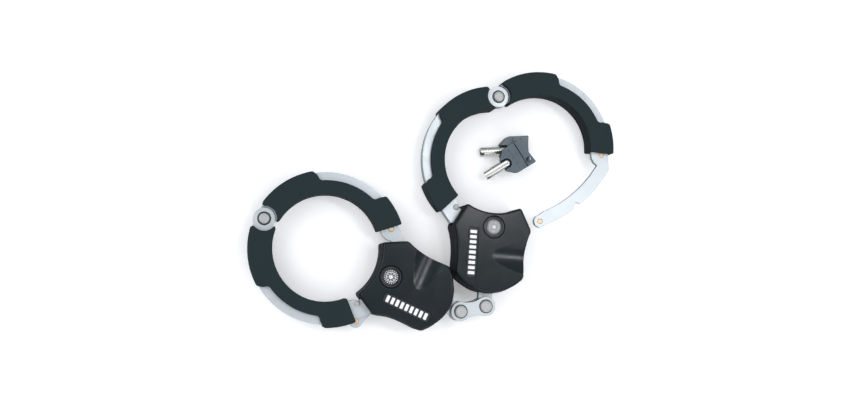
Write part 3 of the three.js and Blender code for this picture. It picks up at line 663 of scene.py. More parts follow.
def makeSleeve(name):
    s = sleeveShape
    tipAngle, _ = crossing(ring["pivotOuter"], s["tip"])
    baseFloor = polar(s["floor"], s["baseStep"] + 1.0)
    pivotFloor = polar(s["floor"], s["pivotStep"] - 1.0)
    steps = [
        *ringArc(ring["inner"], 175.0, s["end"]),
        *ringArc(ring["outer"], s["end"], s["baseOuter"]),
        lineTo(*polar(s["step"], s["baseStep"])),
        *ringArc(s["floor"], s["baseStep"] + 1.0, s["pivotStep"] - 1.0),
        lineTo(*polar(s["step"], s["pivotStep"])),
        *ringArc(ring["pivotOuter"], s["pivotOuter"], tipAngle),
        *ringArc(pivotSize["sleeveClear"], 120.0, 10.0, pivot, 8.0)]
    sleeve = prism(name, steps, *levels["sleeve"], [baseFloor, pivotFloor], s["floorCorner"], 4)
    roundUprights(sleeve, s["corner"], 3, 22.0)
    roundRims(sleeve, s["bevel"], 3)
    # the steel runs right through, so the channel is longer than the sleeve at both ends
    channelStart, channelEnd = 184.0, s["end"] - 4.0
    channel = prism("channel", [
        *ringArc(ring["steelIn"] - gap, channelStart, channelEnd),
        *ringArc(ring["steelOut"] + gap, channelEnd, channelStart)],
        levels["plateLow"] - gap, levels["plateHigh"] + levels["plate"] + gap)
    return cutAway(sleeve, channel)


def tailChannel():
    # the room that the tail sweeps through the lock and the fixed sleeve
    t = tailShape
    return prism("tailChannel", [
        *ringArc(t["channelIn"], t["channelFrom"], t["channelTo"], pivot),
        *ringArc(t["channelOut"], t["channelTo"], t["channelFrom"], pivot)],
        levels["tailLow"] - t["room"], levels["tailHigh"] + levels["tail"] + t["room"])


def makeFlushRivet(centre):
    low, high = levels["tailLow"], levels["tailHigh"] + levels["tail"]
    r = tailShape["rivet"]
    return smooth(turned("flushRivet", [
        (0, low + 0.05), (r - 0.5, low), (r - 0.15, low + 0.06), (r, low + 0.25), (r, high - 0.25),
        (r - 0.15, high - 0.06), (r - 0.5, high), (r - 0.9, high - 0.07), (0, high - 0.1)], 40, centre))


tailPlate = makeTailPlate()
swingPlate = hollowStrip("swingPlate", stripShape["swing"], 0.0, levels["plate"])
swingSleeve = smooth(makeSleeve("swingSleeve"))
print("stage: swinging arm drawn")


baseShape = {
    "foot": [(40.0, 18.0), (45.0, 13.0), (70.0, 12.4), (73.0, 15.0), (73.0, 19.6), (57.0, 21.6),
             (47.2, 24.8)],
    "rivet": (36.4, -26.4), "rivetRadius": 1.6, "rivetHead": 2.2, "boss": (66.0, -16.0), "bossRadius": 1.8,
    "play": 0.15, "bossPlay": 0.3}
# dark rings round the pivot pin's heads that stand for the shadowed gap there (painted shade), and the
# grooves that they lie in
shadeRingShape = {
    "inner": 3.78, "outer": 4.82, "rim": 0.12, "upper": (16.72, 17.5), "lower": (9.5, 10.28),
    "grooveIn": 3.9, "grooveOut": 4.85, "upperGroove": (16.7, 18.0), "lowerGroove": (9.0, 10.3)}


def makeBasePlate():
    b = baseShape
    base = linesTo([*tailShape["tabInner"], *b["foot"], tailShape["tabOuter"]])
    plate = prism("basePlate", strip(knuckleEnd(), base, stripShape["tab"]), 0.0, levels["plate"])
    flipped(plate)
    roundUprights(plate, stripShape["tabCorner"], 3, 30.0)
    roundRims(plate, stripShape["edge"], 2)
    for centre, radius in ((pivot, pivotSize["pin"] + b["play"]), (b["rivet"], b["rivetRadius"] + b["play"]),
                           (b["boss"], b["bossRadius"] + b["bossPlay"])):
        drill(plate, centre, radius, -1, 3)
    return plate


def knuckleGroove(low, high):
    return hoop("groove", shadeRingShape["grooveIn"], shadeRingShape["grooveOut"], low, high, pivot)


basePlate = makeBasePlate()
basePlateTop = lifted(copyOf(basePlate, "basePlateTop"), levels["plateHigh"])
basePlateBottom = lifted(basePlate, levels["plateLow"])
smooth(cutAway(basePlateTop, knuckleGroove(*shadeRingShape["upperGroove"])))
smooth(cutAway(basePlateBottom, knuckleGroove(*shadeRingShape["lowerGroove"])))
fixedSpacer = hollowStrip("fixedSpacer", stripShape["spacer"], levels["tailLow"],
                          levels["tailHigh"] + levels["tail"], mirrored=True)
fixedSleeve = smooth(cutAway(flipped(makeSleeve("fixedSleeve")), tailChannel()))


def headProfile(shank, head, bottom, under, over, top):
    # riveted pin: rounded heads with a shallow dimple and a turned line
    upper = [(head, over), (head, top - 0.75), (head - 0.12, top - 0.4), (head - 0.4, top - 0.12),
             (head - 0.8, top), (head - 1.1, top), (head - 1.2, top - 0.08), (head - 1.35, top), (0.9, top),
             (0.6, top - 0.12), (0, top - 0.18)]
    lower = [(0, bottom + 0.1), (head - 0.8, bottom), (head - 0.3, bottom + 0.2), (head, bottom + 0.7),
             (head, under)]
    return [*lower, (shank, under), (shank, over), *upper]


def makePin(name, size, parts, centre=(0.0, 0.0)):
    profile = headProfile(size["pin"], size["head"], size["bottom"], size["under"], size["over"],
                          size["top"])
    return smooth(turned(name, profile, parts, centre), 25.0)


def makeBaseRivet():
    # low domed heads outside the two plates
    shank, head = baseShape["rivetRadius"], baseShape["rivetHead"]
    under, over = pivotSize["under"], pivotSize["over"]
    lower = [(0, under - 0.9), (head - 0.7, under - 0.9), (head - 0.2, under - 0.7), (head, under - 0.3),
             (head, under)]
    upper = [(head, over), (head, over + 0.3), (head - 0.15, over + 0.65), (head - 0.6, over + 0.85),
             (head - 1.3, over + 0.9), (0, over + 0.8)]
    return smooth(turned("baseRivet", [*lower, (shank, under), (shank, over), *upper], 40,
                         baseShape["rivet"]), 40.0)


# a thin dark ring that stands for the shadowed gap round a pin head: painted shade
def shadeRing(name, inner, outer, low, high, centre=(0.0, 0.0)):
    rim = shadeRingShape["rim"]
    return turned(name, [(inner, low), (outer, low), (outer, high - rim), (outer - rim, high),
                         (inner + rim, high), (inner, high - rim), (inner, low)], 56, centre)


def makePivotShadeRings():
    w = shadeRingShape
    return smooth(joined([shadeRing(name, w["inner"], w["outer"], *w[name], pivot)
                          for name in ("upper", "lower")], "pivotWashers"))


tongueShape = {
    "back": 77.4, "shoulder": 86.0, "halfWidth": 11.0, "neck": 5.0, "eye": 7.0, "eyeAngle": 134.0,
    "eyeHole": 3.2, "pegs": [(81.0, 6.0), (81.0, -6.0)], "pegHole": 2.1, "corner": 0.8, "edge": 0.35}


def makeTongue():
    t = tongueShape
    back, shoulder, half, neck = t["back"], t["shoulder"], t["halfWidth"], t["neck"]
    tongue = prism("tongue", [
        *linesTo([(back, -half), (shoulder, -half), (shoulder, -neck)]),
        *ringArc(t["eye"], -t["eyeAngle"], t["eyeAngle"], chainPin, 6.0),
        *linesTo([(shoulder, neck), (shoulder, half), (back, half)])], *levels["tongue"])
    roundUprights(tongue, t["corner"], 3, 30.0)
    roundRims(tongue, t["edge"], 2)
    for centre, radius in ((chainPin, t["eyeHole"]), *[(peg, t["pegHole"]) for peg in t["pegs"]]):
        drill(tongue, centre, radius, 9, 18)
    return smooth(tongue)


pivotPin = makePin("pivotPin", pivotSize, 56, pivot)
baseRivet = makeBaseRivet()
tipRivet = makeFlushRivet(tailTip)
tabRivet = makeFlushRivet(tailShape["tabRivet"])
pivotWashers = makePivotShadeRings()
tongue = makeTongue()
print("stage: fixed arm, pins and tongue drawn")


coverShape = {
    "side": [(50.0, 29.0), (57.5, 26.2), (69.0, 24.8), (85.0, 25.2), (90.0, 19.6), (95.4, 10.2)],
    "nose": (97.8, 0.0), "innerArc": 39.0, "innerAngle": 31.0, "wall": 3.3, "bevel": 1.8, "seam": 0.25,
    "keyway": (49.2, 0.5), "bore": 7.9, "boreLow": 20.0, "lip": 0.5,
    "label": (50.3, 86.8, -18.2, -10.4), "labelFloor": 25.7, "labelCorner": 1.8,
    "flatRound": (4.6, 6), "sharpRound": (2.3, 6), "bluntRound": (3.2, 5),
    "scoopAt": 70.0, "scoopRadius": 25.5, "scoopDepth": 3.0, "scoopEdge": 25.0,
    "armSlot": [(31.0, -31.0), (30.6, -25.2), (36.6, -22.2), (40.0, -17.0), (48.0, -17.0), (50.2, -24.0),
                (49.0, -31.0)],
    "tongueSlot": (84.0, 100.0), "tongueHalf": 5.4,
    "screws": [(66.0, -16.0), (81.0, 6.0), (81.0, -6.0), (64.0, 16.5)], "screwHole": 2.7,
    "screwFloor": 2.6, "screwHead": 2.4, "screwSocket": 1.35}


def coverBlock(name, shrink, bottom, top):
    c = coverShape
    lower = [(x, -y) for x, y in c["side"]]
    steps = [
        *ringArc(c["innerArc"], c["innerAngle"], -c["innerAngle"]),
        *linesTo([*lower, c["nose"], *reversed(c["side"])])]
    piece = traceOutline(name, steps, bottom)
    ends = [polar(c["innerArc"], c["innerAngle"]), polar(c["innerArc"], -c["innerAngle"])]
    flat = [corner for side in (lower, c["side"]) for corner in side[1:3]]
    sharp = [corner for side in (lower, c["side"]) for corner in (side[0], side[3])]
    blunt = [corner for side in (lower, c["side"]) for corner in side[4:]]
    if shrink:
        # the hollow keeps plain corners, because small rounded ones would cross over when moved inwards
        bpy.ops.mesh.select_mode(type="FACE")
        bpy.ops.mesh.select_all(action="SELECT")
        bpy.ops.mesh.inset(thickness=shrink)
        bpy.ops.mesh.select_all(action="INVERT")
        bpy.ops.mesh.delete(type="FACE")
    else:
        roundCorners(piece, flat, *c["flatRound"])
        roundCorners(piece, sharp + ends, *c["sharpRound"])
        roundCorners(piece, blunt + [c["nose"]], *c["bluntRound"])
    return thicken(piece, top - bottom)


def labelBlock(name, shrink, bottom, top):
    x0, x1, y0, y1 = coverShape["label"]
    corners = rectangle(x0 + shrink, y0 + shrink, x1 - shrink, y1 - shrink)
    return prism(name, linesTo(corners), bottom, top, corners, coverShape["labelCorner"], 6)


def scoopCutter():
    # a long roller lowered into the cover, deeper at its edge than at its middle line
    c = coverShape
    slope = atan2(c["scoopDepth"], c["scoopEdge"])
    # closely spaced rings keep the shading of the scoop true along its length
    half, spacing = 34, 2
    rings = [(c["scoopRadius"], height) for height in range(-half, half + 1, spacing)]
    roller = turned("roller", [(0, -half), *rings, (0, half)], 128)
    height = levels["body"][1] + c["scoopRadius"] / cos(slope)
    return moved(roller, Matrix.Translation((c["scoopAt"], 0.0, height))
                 @ Matrix.Rotation(radians(90.0) - slope, 4, "X"))


def halfBlock(name, keepUpper):
    piece = coverBlock(name, 0.0, *levels["body"])
    roundRims(piece, coverShape["bevel"], 5)
    onlySelect(piece)
    bpy.ops.object.mode_set(mode="EDIT")
    bpy.ops.mesh.select_all(action="SELECT")
    height = levels["split"] + (gap / 2 if keepUpper else -gap / 2)
    bpy.ops.mesh.bisect(plane_co=(0.0, 0.0, height), plane_no=(0.0, 0.0, 1.0), use_fill=True,
                        clear_inner=keepUpper, clear_outer=not keepUpper)
    faceOutwards()
    bpy.ops.object.mode_set(mode="OBJECT")
    return roundRims(piece, coverShape["seam"], 2, height)


def coverHollows():
    c = coverShape
    cavity = coverBlock("cavity", c["wall"], *levels["cavity"])
    armSlot = prism("armSlot", linesTo(c["armSlot"]), levels["plateLow"] - gap,
                    levels["plateHigh"] + levels["plate"] + gap)
    (x0, x1), half, (low, high) = c["tongueSlot"], c["tongueHalf"], levels["tongue"]
    tongueSlot = block("tongueSlot", (x0, -half, low - gap), (x1, half, high + gap))
    return [cavity, tailChannel(), armSlot, tongueSlot]


def makeFrontCover(hollows):
    c = coverShape
    cover = halfBlock("frontCover", True)
    cutAway(cover, *hollows, keep=True)
    low, top, r = c["boreLow"], levels["body"][1], c["bore"]
    bore = turned("bore", [(0, low), (r, low), (r, top - c["lip"]), (r + 1.0, top + 0.5), (0, top + 0.5)],
                  64, c["keyway"])
    recess = labelBlock("recess", 0.0, c["labelFloor"], top + 1.0)
    return smooth(cutAway(cover, bore, recess, scoopCutter()), 24.0)


def makeRearCover(hollows):
    c = coverShape
    cover = halfBlock("rearCover", False)
    cutAway(cover, *hollows, keep=True)
    r, floor = c["screwHole"], c["screwFloor"]
    for centre in c["screws"]:
        cutAway(cover, turned("well", [(0, -1), (r + 0.9, -1), (r, 0.4), (r, floor), (0, floor)], 40, centre))
    return smooth(cover, 24.0)


def makeScrews():
    # countersunk cover screws with a six-sided socket
    c = coverShape
    r, socket, floor = c["screwHead"], c["screwSocket"], c["screwFloor"]
    screws = []
    for centre in c["screws"]:
        head = turned("screw", [
            (0, floor), (r - 0.3, floor), (r, floor - 0.3), (r, 0.9), (r - 0.15, 0.65), (r - 0.5, 0.55),
            (0, 0.55)], 40, centre)
        screws.append(cutAway(head, turned("socket", [
            (0, -1), (socket, -1), (socket, 1.6), (0, 1.9)], 6, centre)))
    return smooth(joined(screws, "coverScrews"))


hollows = coverHollows()
frontCover = makeFrontCover(hollows)
rearCover = makeRearCover(hollows)
for cutter in hollows:
    bpy.data.objects.remove(cutter)
coverScrews = makeScrews()
print("stage: lock covers drawn")


keywayShape = {
    "ringIn": 6.2, "ringOut": 7.6, "ringLow": 20.4, "ringTop": 26.8, "flap": 5.8, "flapLow": 26.0,
    "hingeBack": 6.85, "hingeHeight": 26.9, "hingeRadius": 0.58, "hingeWidth": 3.5,
    "notch": (8.4, 5.8), "notchHalf": 2.3, "notchLow": 25.8, "webHalf": 1.5,
    "dome": 1.5, "circle": (3.05, 3.55), "ribs": 20, "rib": (3.9, 5.05), "ribHalf": 0.26,
    "beads": 8, "bead": 0.5, "beadAt": 2.3}


def makeKeywayRing():
    k = keywayShape
    x, y = coverShape["keyway"]
    piece = turned("keywayRing", [
        (k["ringIn"], k["ringLow"]), (k["ringOut"], k["ringLow"]), (k["ringOut"], k["ringTop"] - 0.5),
        (k["ringOut"] - 0.12, k["ringTop"] - 0.22), (k["ringOut"] - 0.4, k["ringTop"]),
        (k["ringIn"] + 0.4, k["ringTop"]), (k["ringIn"] + 0.12, k["ringTop"] - 0.12),
        (k["ringIn"], k["ringTop"] - 0.4), (k["ringIn"], k["ringLow"])], 72, (x, y))
    (far, near), half = k["notch"], k["notchHalf"]
    return smooth(cutAway(piece, block("notch", (x - far, y - half, k["notchLow"]),
                                       (x - near, y + half, 30.0))))


def aroundKeyway(master, count, name):
    # copies of one small shape, evenly turned about the keyway's centre
    x, y = coverShape["keyway"]
    copies = []
    for number in range(count):
        turn = Matrix.Rotation(radians(360.0 / count * (number + 0.5)), 4, "Z")
        copies.append(moved(copyOf(master, name), Matrix.Translation((x, y, 0.0)) @ turn))
    bpy.data.objects.remove(master)
    return copies


def makeFlap():
    # dark disc with a thin rim, hung on a small knuckle
    k = keywayShape
    x, y = coverShape["keyway"]
    low = k["flapLow"]
    disc = turned("flap", [
        (0, low), (k["flap"] - 0.15, low), (k["flap"], low + 0.12), (k["flap"], low + 0.5),
        (k["flap"] - 0.15, low + 0.62), (k["flap"] - 0.45, low + 0.62), (k["flap"] - 0.6, low + 0.42),
        (0, low + 0.42)], 72, (x, y))
    half, r = k["hingeWidth"] / 2, k["hingeRadius"]
    knuckle = turned("knuckle", rectangle(0, -half, r, half), 24)
    moved(knuckle, Matrix.Translation((x - k["hingeBack"], y, k["hingeHeight"]))
          @ Matrix.Rotation(radians(90.0), 4, "X"))
    web = block("web", (x - k["hingeBack"], y - k["webHalf"], low + 0.05),
                (x - k["flap"] + 0.7, y + k["webHalf"], low + 0.4))
    roundUprights(web, 0.2, 2)
    return smooth(joined([disc, knuckle, web], "flap"))


def makeFlapRelief():
    # plain bright relief: a ring of short ribs, a thin ring, beads and a dome
    k = keywayShape
    x, y = coverShape["keyway"]
    low = k["flapLow"] + 0.36
    top = low + 0.4
    r = k["dome"]
    dome = turned("relief", [(0, low), (r, low), (r, low + 0.2), (r - 0.3, low + 0.38), (r - 0.7, low + 0.48),
                             (0, low + 0.52)], 40, (x, y))
    near, far = k["circle"]
    circle = turned("circle", [(near, low), (far, low), (far, low + 0.28), (far - 0.13, low + 0.36),
                               (near + 0.13, low + 0.36), (near, low + 0.28), (near, low)], 64, (x, y))
    near, far = k["rib"]
    rib = block("rib", (near, -k["ribHalf"], low), (far, k["ribHalf"], top))
    roundRims(roundUprights(rib, 0.12, 2), 0.1, 2, top)
    r = k["bead"]
    bead = turned("bead", [(0, low), (r, low), (r, low + 0.12), (r - 0.08, low + 0.26), (r / 2, low + 0.36),
                           (0, top)], 16, (k["beadAt"], 0.0))
    return smooth(joined([dome, circle, *aroundKeyway(rib, k["ribs"], "rib"),
                          *aroundKeyway(bead, k["beads"], "bead")], "flapRelief"))


labelShape = {
    "top": 26.45, "edge": 0.18, "frame": 0.55, "frameLow": 26.3, "frameTop": 26.8, "frameEdge": 0.15,
    "bars": 9, "barWidth": 2.3, "barHeight": 4.9, "pitch": 3.7, "barLow": 26.35, "barTop": 26.85,
    "barCorner": 0.5, "barEdge": 0.14}


def makeLabelPlate():
    b = labelShape
    plate = labelBlock("labelPlate", gap, coverShape["labelFloor"] + gap, b["top"])
    roundRims(plate, b["edge"], 2, b["top"])
    frameOuter = labelBlock("labelFrame", gap, b["frameLow"], b["frameTop"])
    cutAway(frameOuter, labelBlock("inner", gap + b["frame"], 26.0, 27.2))
    roundRims(frameOuter, b["frameEdge"], 2, b["frameTop"])
    return smooth(joined([plate, frameOuter], "labelPlate"))


def makeLabelBars():
    # plain light bars in a row
    b = labelShape
    x0, x1, y0, y1 = coverShape["label"]
    middle = ((x0 + x1) / 2, (y0 + y1) / 2)
    w, h = b["barWidth"] / 2, b["barHeight"] / 2
    corners = rectangle(-w, -h, w, h)
    bar = prism("bar", linesTo(corners), b["barLow"], b["barTop"], corners, b["barCorner"], 4)
    roundRims(bar, b["barEdge"], 2, b["barTop"])
    bars = []
    for count in range(b["bars"]):
        shift = (count - (b["bars"] - 1) / 2) * b["pitch"]
        bars.append(moved(copyOf(bar, "bar"), Matrix.Translation((middle[0] + shift, middle[1], 0.0))))
    bpy.data.objects.remove(bar)
    return smooth(joined(bars, "labelBars"))


keywayRing = makeKeywayRing()
flap = makeFlap()
flapRelief = makeFlapRelief()
labelPlate = makeLabelPlate()
lightBars = makeLabelBars()
print("stage: keyway, flap and label drawn")


def cuffPlace(swing, chain):
    hinge = Vector(joints[swing]["pos_m"])
    along = Vector(joints[chain]["pos_m"]) - hinge
    turn = Matrix.Rotation(atan2(along.y, along.x), 4, "Z")
    centre = hinge.xy.to_3d() - turn @ Vector((pivot[0] * millimetre, 0.0, 0.0))
    return Matrix.Translation(centre) @ turn @ Matrix.Scale(millimetre, 4)


def opened(angle):
    out = Matrix.Translation((pivot[0], pivot[1], 0.0))
    return out @ Matrix.Rotation(radians(angle), 4, "Z") @ out.inverted()


def settle(piece, place, coating, body, slot, *nodes):
    moved(piece, place)
    piece.data.materials.clear()
    piece.data.materials.append(coatings[coating])
    if coating in paintedShadeWalls:
        # upright walls get painted shade: a darker colour and a dimmer reflection than the flat faces, on a
        # duller finish
        piece.data.materials.append(coatings[paintedShadeWalls[coating]])
        for face in piece.data.polygons:
            face.material_index = 1 if abs(face.normal.z) < uprightLimit else 0
    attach(piece, body)
    if nodes:
        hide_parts(*nodes)


rightOpening = -joints["right_swing"]["range_deg"][0]  # the right arm rests open, the left one closed
cuffs = {
    "left": (cuffPlace("left_swing", "link_turn"), 0.0),
    "right": (cuffPlace("right_swing", "right_turn"), rightOpening)}

# what rides on each body of a cuff: piece, name, height, finish, slot and the node it stands for
riding = {
    "lock": [
        (frontCover, "FrontCover", 0.0, "coverPlastic", "cover", "front_cover"),
        (rearCover, "RearCover", 0.0, "coverPlastic", "cover", "rear_cover"),
        (tongue, "Tongue", 0.0, "zincPlate", "zinc_plate", "anchor_tongue"),
        (keywayRing, "KeywayRing", 0.0, "blackRing", "keyway_ring", "cylinder_shell"),
        (labelPlate, "LabelPlate", 0.0, "labelBlack", "label", "badge_plate"),
        (lightBars, "LabelBars", 0.0, "labelLight", "label", None),
        (coverScrews, "CoverScrews", 0.0, "turnedSteel", "pin_steel", None),
        (basePlateTop, "FixedPlateTop", 0.0, "zincPlate", "zinc_plate", "fixed_plate_top"),
        (basePlateBottom, "FixedPlateBottom", 0.0, "zincPlate", "zinc_plate", "fixed_plate_bottom"),
        (fixedSpacer, "FixedSpacer", 0.0, "zincPlate", "zinc_plate", "fixed_spacer"),
        (fixedSleeve, "FixedSleeve", 0.0, "sleevePlastic", "sleeve", "fixed_sleeve"),
        (baseRivet, "BaseRivet", 0.0, "turnedSteel", "pin_steel", "base_rivet"),
        (pivotPin, "PivotPin", 0.0, "turnedSteel", "pin_steel", "pivot_pin"),
        (pivotWashers, "PivotShadeRings", 0.0, "blackRing", "keyway_ring", None)],
    "arm": [
        (tailPlate, "TailPlateTop", levels["tailHigh"], "zincPlate", "zinc_plate", "tail_plate_top"),
        (tailPlate, "TailPlateBottom", levels["tailLow"], "zincPlate", "zinc_plate", "tail_plate_bottom"),
        (swingPlate, "SwingPlateTop", levels["plateHigh"], "zincPlate", "zinc_plate", "swing_plate_top"),
        (swingPlate, "SwingPlateBottom", levels["plateLow"], "zincPlate", "zinc_plate", "swing_plate_bottom"),
        (swingSleeve, "SwingSleeve", 0.0, "sleevePlastic", "sleeve", "swing_sleeve"),
        (tipRivet, "TipRivet", 0.0, "peenedBrass", "rivet", "tip_rivet"),
        (tabRivet, "TabRivet", 0.0, "peenedBrass", "rivet", "tab_rivet")],
    "flap": [
        (flap, "Flap", 0.0, "blackRing", "keyway_ring", "shutter"),
        (flapRelief, "FlapRelief", 0.0, "platedFlap", "lock_metal", None)]}
for side, (cuff, opening) in cuffs.items():
    for body, rows in riding.items():
        base = cuff @ opened(opening) if body == "arm" else cuff
        for master, label, height, coating, slot, node in rows:
            nodes = [side + "_" + node] if node else []
            settle(copyOf(master, side + label), base @ Matrix.Translation((0.0, 0.0, height)), coating,
                   side + "_" + body, slot, *nodes)
for master in dict.fromkeys(row[0] for rows in riding.values() for row in rows):
    bpy.data.objects.remove(master)
print("stage: cuffs in place")


linkShape = {
    "pitch": 19.05, "end": 7.1, "waist": 5.15, "pin": 3.0, "head": 4.3, "edge": 0.45, "play": 0.15,
    "bottom": 5.0, "under": 6.7, "over": 20.3, "top": 22.0, "groove": (0.1, 0.75), "grooveLow": 2.3,
    "shadeRing": (0.13, 0.72), "shadeRingThick": 0.78}


def makeLinkPlate():
    s = linkShape
    half = s["pitch"] / 2
    # radius of the hollow sides, tangent to both round ends
    hollow = (half ** 2 + s["waist"] ** 2 - s["end"] ** 2) / (2 * (s["end"] - s["waist"]))
    lean = degrees(atan2(s["waist"] + hollow, half))
    steps = [
        *ringArc(s["end"], lean, 360.0 - lean, (-half, 0.0), 6.0),
        arcRound((0.0, -s["waist"] - hollow), 2 * lean - 180.0, 10),
        arcRound((half, 0.0), 360.0 - 2 * lean, 38),
        arcRound((0.0, s["waist"] + hollow), 2 * lean - 180.0, 10)]
    plate = prism("linkPlate", steps, 0.0, levels["link"])
    roundRims(plate, s["edge"], 3)
    near, far = [s["head"] + reach for reach in s["groove"]]
    for x in (-half, half):
        drill(plate, (x, 0.0), s["pin"] + s["play"], -1, 4, 48)
        cutAway(plate, hoop("groove", near, far, s["grooveLow"], 4.0, (x, 0.0)))
    return smooth(plate)


# dark rings round the link pins' heads that stand for the shadowed gap there: painted shade
def makeLinkShadeRings():
    s = linkShape
    near, far = [s["head"] + reach for reach in s["shadeRing"]]
    rings = []
    for x in (-s["pitch"] / 2, s["pitch"] / 2):
        for low in (levels["linkHigh"] + 2.32, levels["linkLow"] - 0.1):
            rings.append(shadeRing("ring", near, far, low, low + s["shadeRingThick"], (x, 0.0)))
    return smooth(joined(rings, "linkShadeRings"))


leftChain = Vector(joints["link_turn"]["pos_m"])
rightChain = Vector(joints["right_turn"]["pos_m"])
linkAlong = rightChain - leftChain
linkMiddle = ((leftChain + rightChain) / 2).xy.to_3d()
linkPlace = (Matrix.Translation(linkMiddle) @ Matrix.Rotation(atan2(linkAlong.y, linkAlong.x), 4, "Z")
             @ Matrix.Scale(millimetre, 4))
linkPlate = makeLinkPlate()
linkPin = makePin("linkPin", linkShape, 56)
upsideDown = (Matrix.Translation((0.0, 0.0, levels["linkLow"] + levels["link"]))
              @ Matrix.Rotation(radians(180.0), 4, "X"))
settle(copyOf(linkPlate, "linkPlateTop"), linkPlace @ Matrix.Translation((0.0, 0.0, levels["linkHigh"])),
       "zincPlate", "link", "zinc_plate", "link_plate_top")
settle(copyOf(linkPlate, "linkPlateBottom"), linkPlace @ upsideDown, "zincPlate", "link", "zinc_plate",
       "link_plate_bottom")
for end, share in (("left", -0.5), ("right", 0.5)):
    settle(copyOf(linkPin, "linkPin" + end.title()),
           linkPlace @ Matrix.Translation((share * linkShape["pitch"], 0.0, 0.0)), "turnedSteel", "link",
           "pin_steel", "link_pin_" + end)
settle(makeLinkShadeRings(), linkPlace, "blackRing", "link", "keyway_ring")
for master in (linkPlate, linkPin):
    bpy.data.objects.remove(master)
print("stage: chain link in place")


keyShape = {
    "barrel": 3.5, "bore": 2.35, "length": 22.0, "boreDepth": 8.0, "barrelEnd": 2.6,
    "slotTurn": 38.0, "slotLength": 17.5, "slotHalf": 0.6, "notchLength": 2.6, "notchHalf": 0.95,
    "bowStart": 14.8, "bowEnd": 38.0, "halfWidth": 10.3, "neckHalf": 4.6, "shoulder": 6.2,
    "thickness": 7.4, "edge": 0.9, "waistRound": (6.0, 8), "shoulderRound": (1.8, 5), "endRound": (1.1, 4),
    "bandFrom": 10.0, "bandTo": 16.6, "bandDeep": 0.8, "seatPlay": 0.45, "seatFloor": 0.4,
    "hole": 1.9, "holeFlare": 1.2, "holeIn": (4.2, 4.4)}
keyPlaces = {
    "front": {"tip": (39.12, 17.65, 6.5), "direction": 32.0, "rise": 18.0},
    "rear": {"tip": (35.82, 36.15, 4.5), "direction": 4.0, "rise": 0.0}}


def layAlongX(piece):
    # an upright turned piece laid down so that its height runs along +X
    return moved(piece, Matrix.Rotation(radians(90.0), 4, "Y"))


def makeBarrel():
    k = keyShape
    r = k["barrel"]
    profile = [
        (0, k["boreDepth"] + 1.2), (k["bore"], k["boreDepth"]), (k["bore"], 0.3), (k["bore"] + 0.2, 0.0),
        (r - 0.3, 0.0), (r - 0.06, 0.12), (r, 0.4), (r, k["length"] - k["barrelEnd"])]
    for angle in (15.0, 30.0, 45.0, 60.0, 75.0, 90.0):
        # the closed end is a low dome
        turn = radians(angle)
        profile.append((r * cos(turn) if angle < 90.0 else 0.0,
                        k["length"] - k["barrelEnd"] + k["barrelEnd"] * sin(turn)))
    barrel = layAlongX(turned("barrel", profile, 56))
    lean = Matrix.Rotation(radians(k["slotTurn"]), 4, "X")
    slot = moved(block("slot", (-1.0, -k["slotHalf"], 2.75), (k["slotLength"], k["slotHalf"], 5.0)), lean)
    notch = moved(block("tipNotch", (-1.0, -k["notchHalf"], 1.6),
                        (k["notchLength"], k["notchHalf"], 5.0)), lean)
    lug = block("lugNotch", (-1.0, -5.0, -0.9), (2.2, -1.6, 0.9))
    return smooth(cutAway(barrel, slot, notch, lug))


def makeBow():
    k = keyShape
    start, end, w, t = k["bowStart"], k["bowEnd"], k["halfWidth"], k["thickness"] / 2
    neck, shoulder = k["neckHalf"], start + k["shoulder"]
    outline = [(start, -neck), (shoulder, -w), (end, -w), (end - 1.6, 0.0), (end, w), (shoulder, w),
               (start, neck)]
    bow = traceOutline("bow", linesTo(outline), -t)
    roundCorners(bow, [outline[3]], *k["waistRound"])
    roundCorners(bow, [outline[1], outline[5]], *k["shoulderRound"])
    roundCorners(bow, [outline[0], outline[2], outline[4], outline[6]], *k["endRound"])
    thicken(bow, 2 * t)
    roundRims(bow, k["edge"], 3)
    # shallow band with sloping sides across both faces
    left, right, floor, edge = start + k["bandFrom"], start + k["bandTo"], t - k["bandDeep"], w + 1.0
    for turn in (0.0, 180.0):
        band = prism("band", linesTo(rectangle(left, -edge, right, edge)), floor, t + 2.0)
        roundRims(band, k["bandDeep"] - 0.01, 1, floor)
        cutAway(bow, moved(band, Matrix.Rotation(radians(turn), 4, "X")))
    # open seat that shows the root of the barrel
    r = k["barrel"] + k["seatPlay"]
    reach = k["length"] - k["barrel"]
    seat = prism("seat", [lineTo(start - 3.0, -r), lineTo(reach, -r), arcRound((reach, 0.0), 180.0, 20),
                          lineTo(start - 3.0, r)], k["seatFloor"], t + 2.0)
    snug = k["barrel"] + 0.12
    socket = layAlongX(turned("socket", [(0, start - 4.0), (snug, start - 4.0), (snug, k["length"] - 1.0),
                                         (0, k["length"] + 0.6)], 48))
    hole, wide = k["hole"], k["hole"] + k["holeFlare"]
    eye = turned("eye", [(0, -6), (wide, -6), (wide, -t - 0.1), (hole, -t + 0.8), (hole, t - 0.8),
                         (wide, t + 0.1), (wide, 6), (0, 6)], 40,
                 (end - k["holeIn"][0], -w + k["holeIn"][1]))
    return smooth(cutAway(bow, seat, socket, eye), 28.0)


barrel = makeBarrel()
bow = makeBow()
for label, spot in keyPlaces.items():
    place = (Matrix.Translation(Vector(spot["tip"]) * millimetre)
             @ Matrix.Rotation(radians(spot["direction"]), 4, "Z")
             @ Matrix.Rotation(radians(-spot["rise"]), 4, "Y") @ Matrix.Scale(millimetre, 4))
    body = label + "_key"
    settle(copyOf(barrel, label + "KeyBarrel"), place, "keyNickel", body, "key_steel", body + "_barrel")
    settle(copyOf(bow, label + "KeyBow"), place, "keyPlastic", body, "key_plastic", body + "_bow")
for master in (barrel, bow):
    bpy.data.objects.remove(master)
print("stage: keys in place")


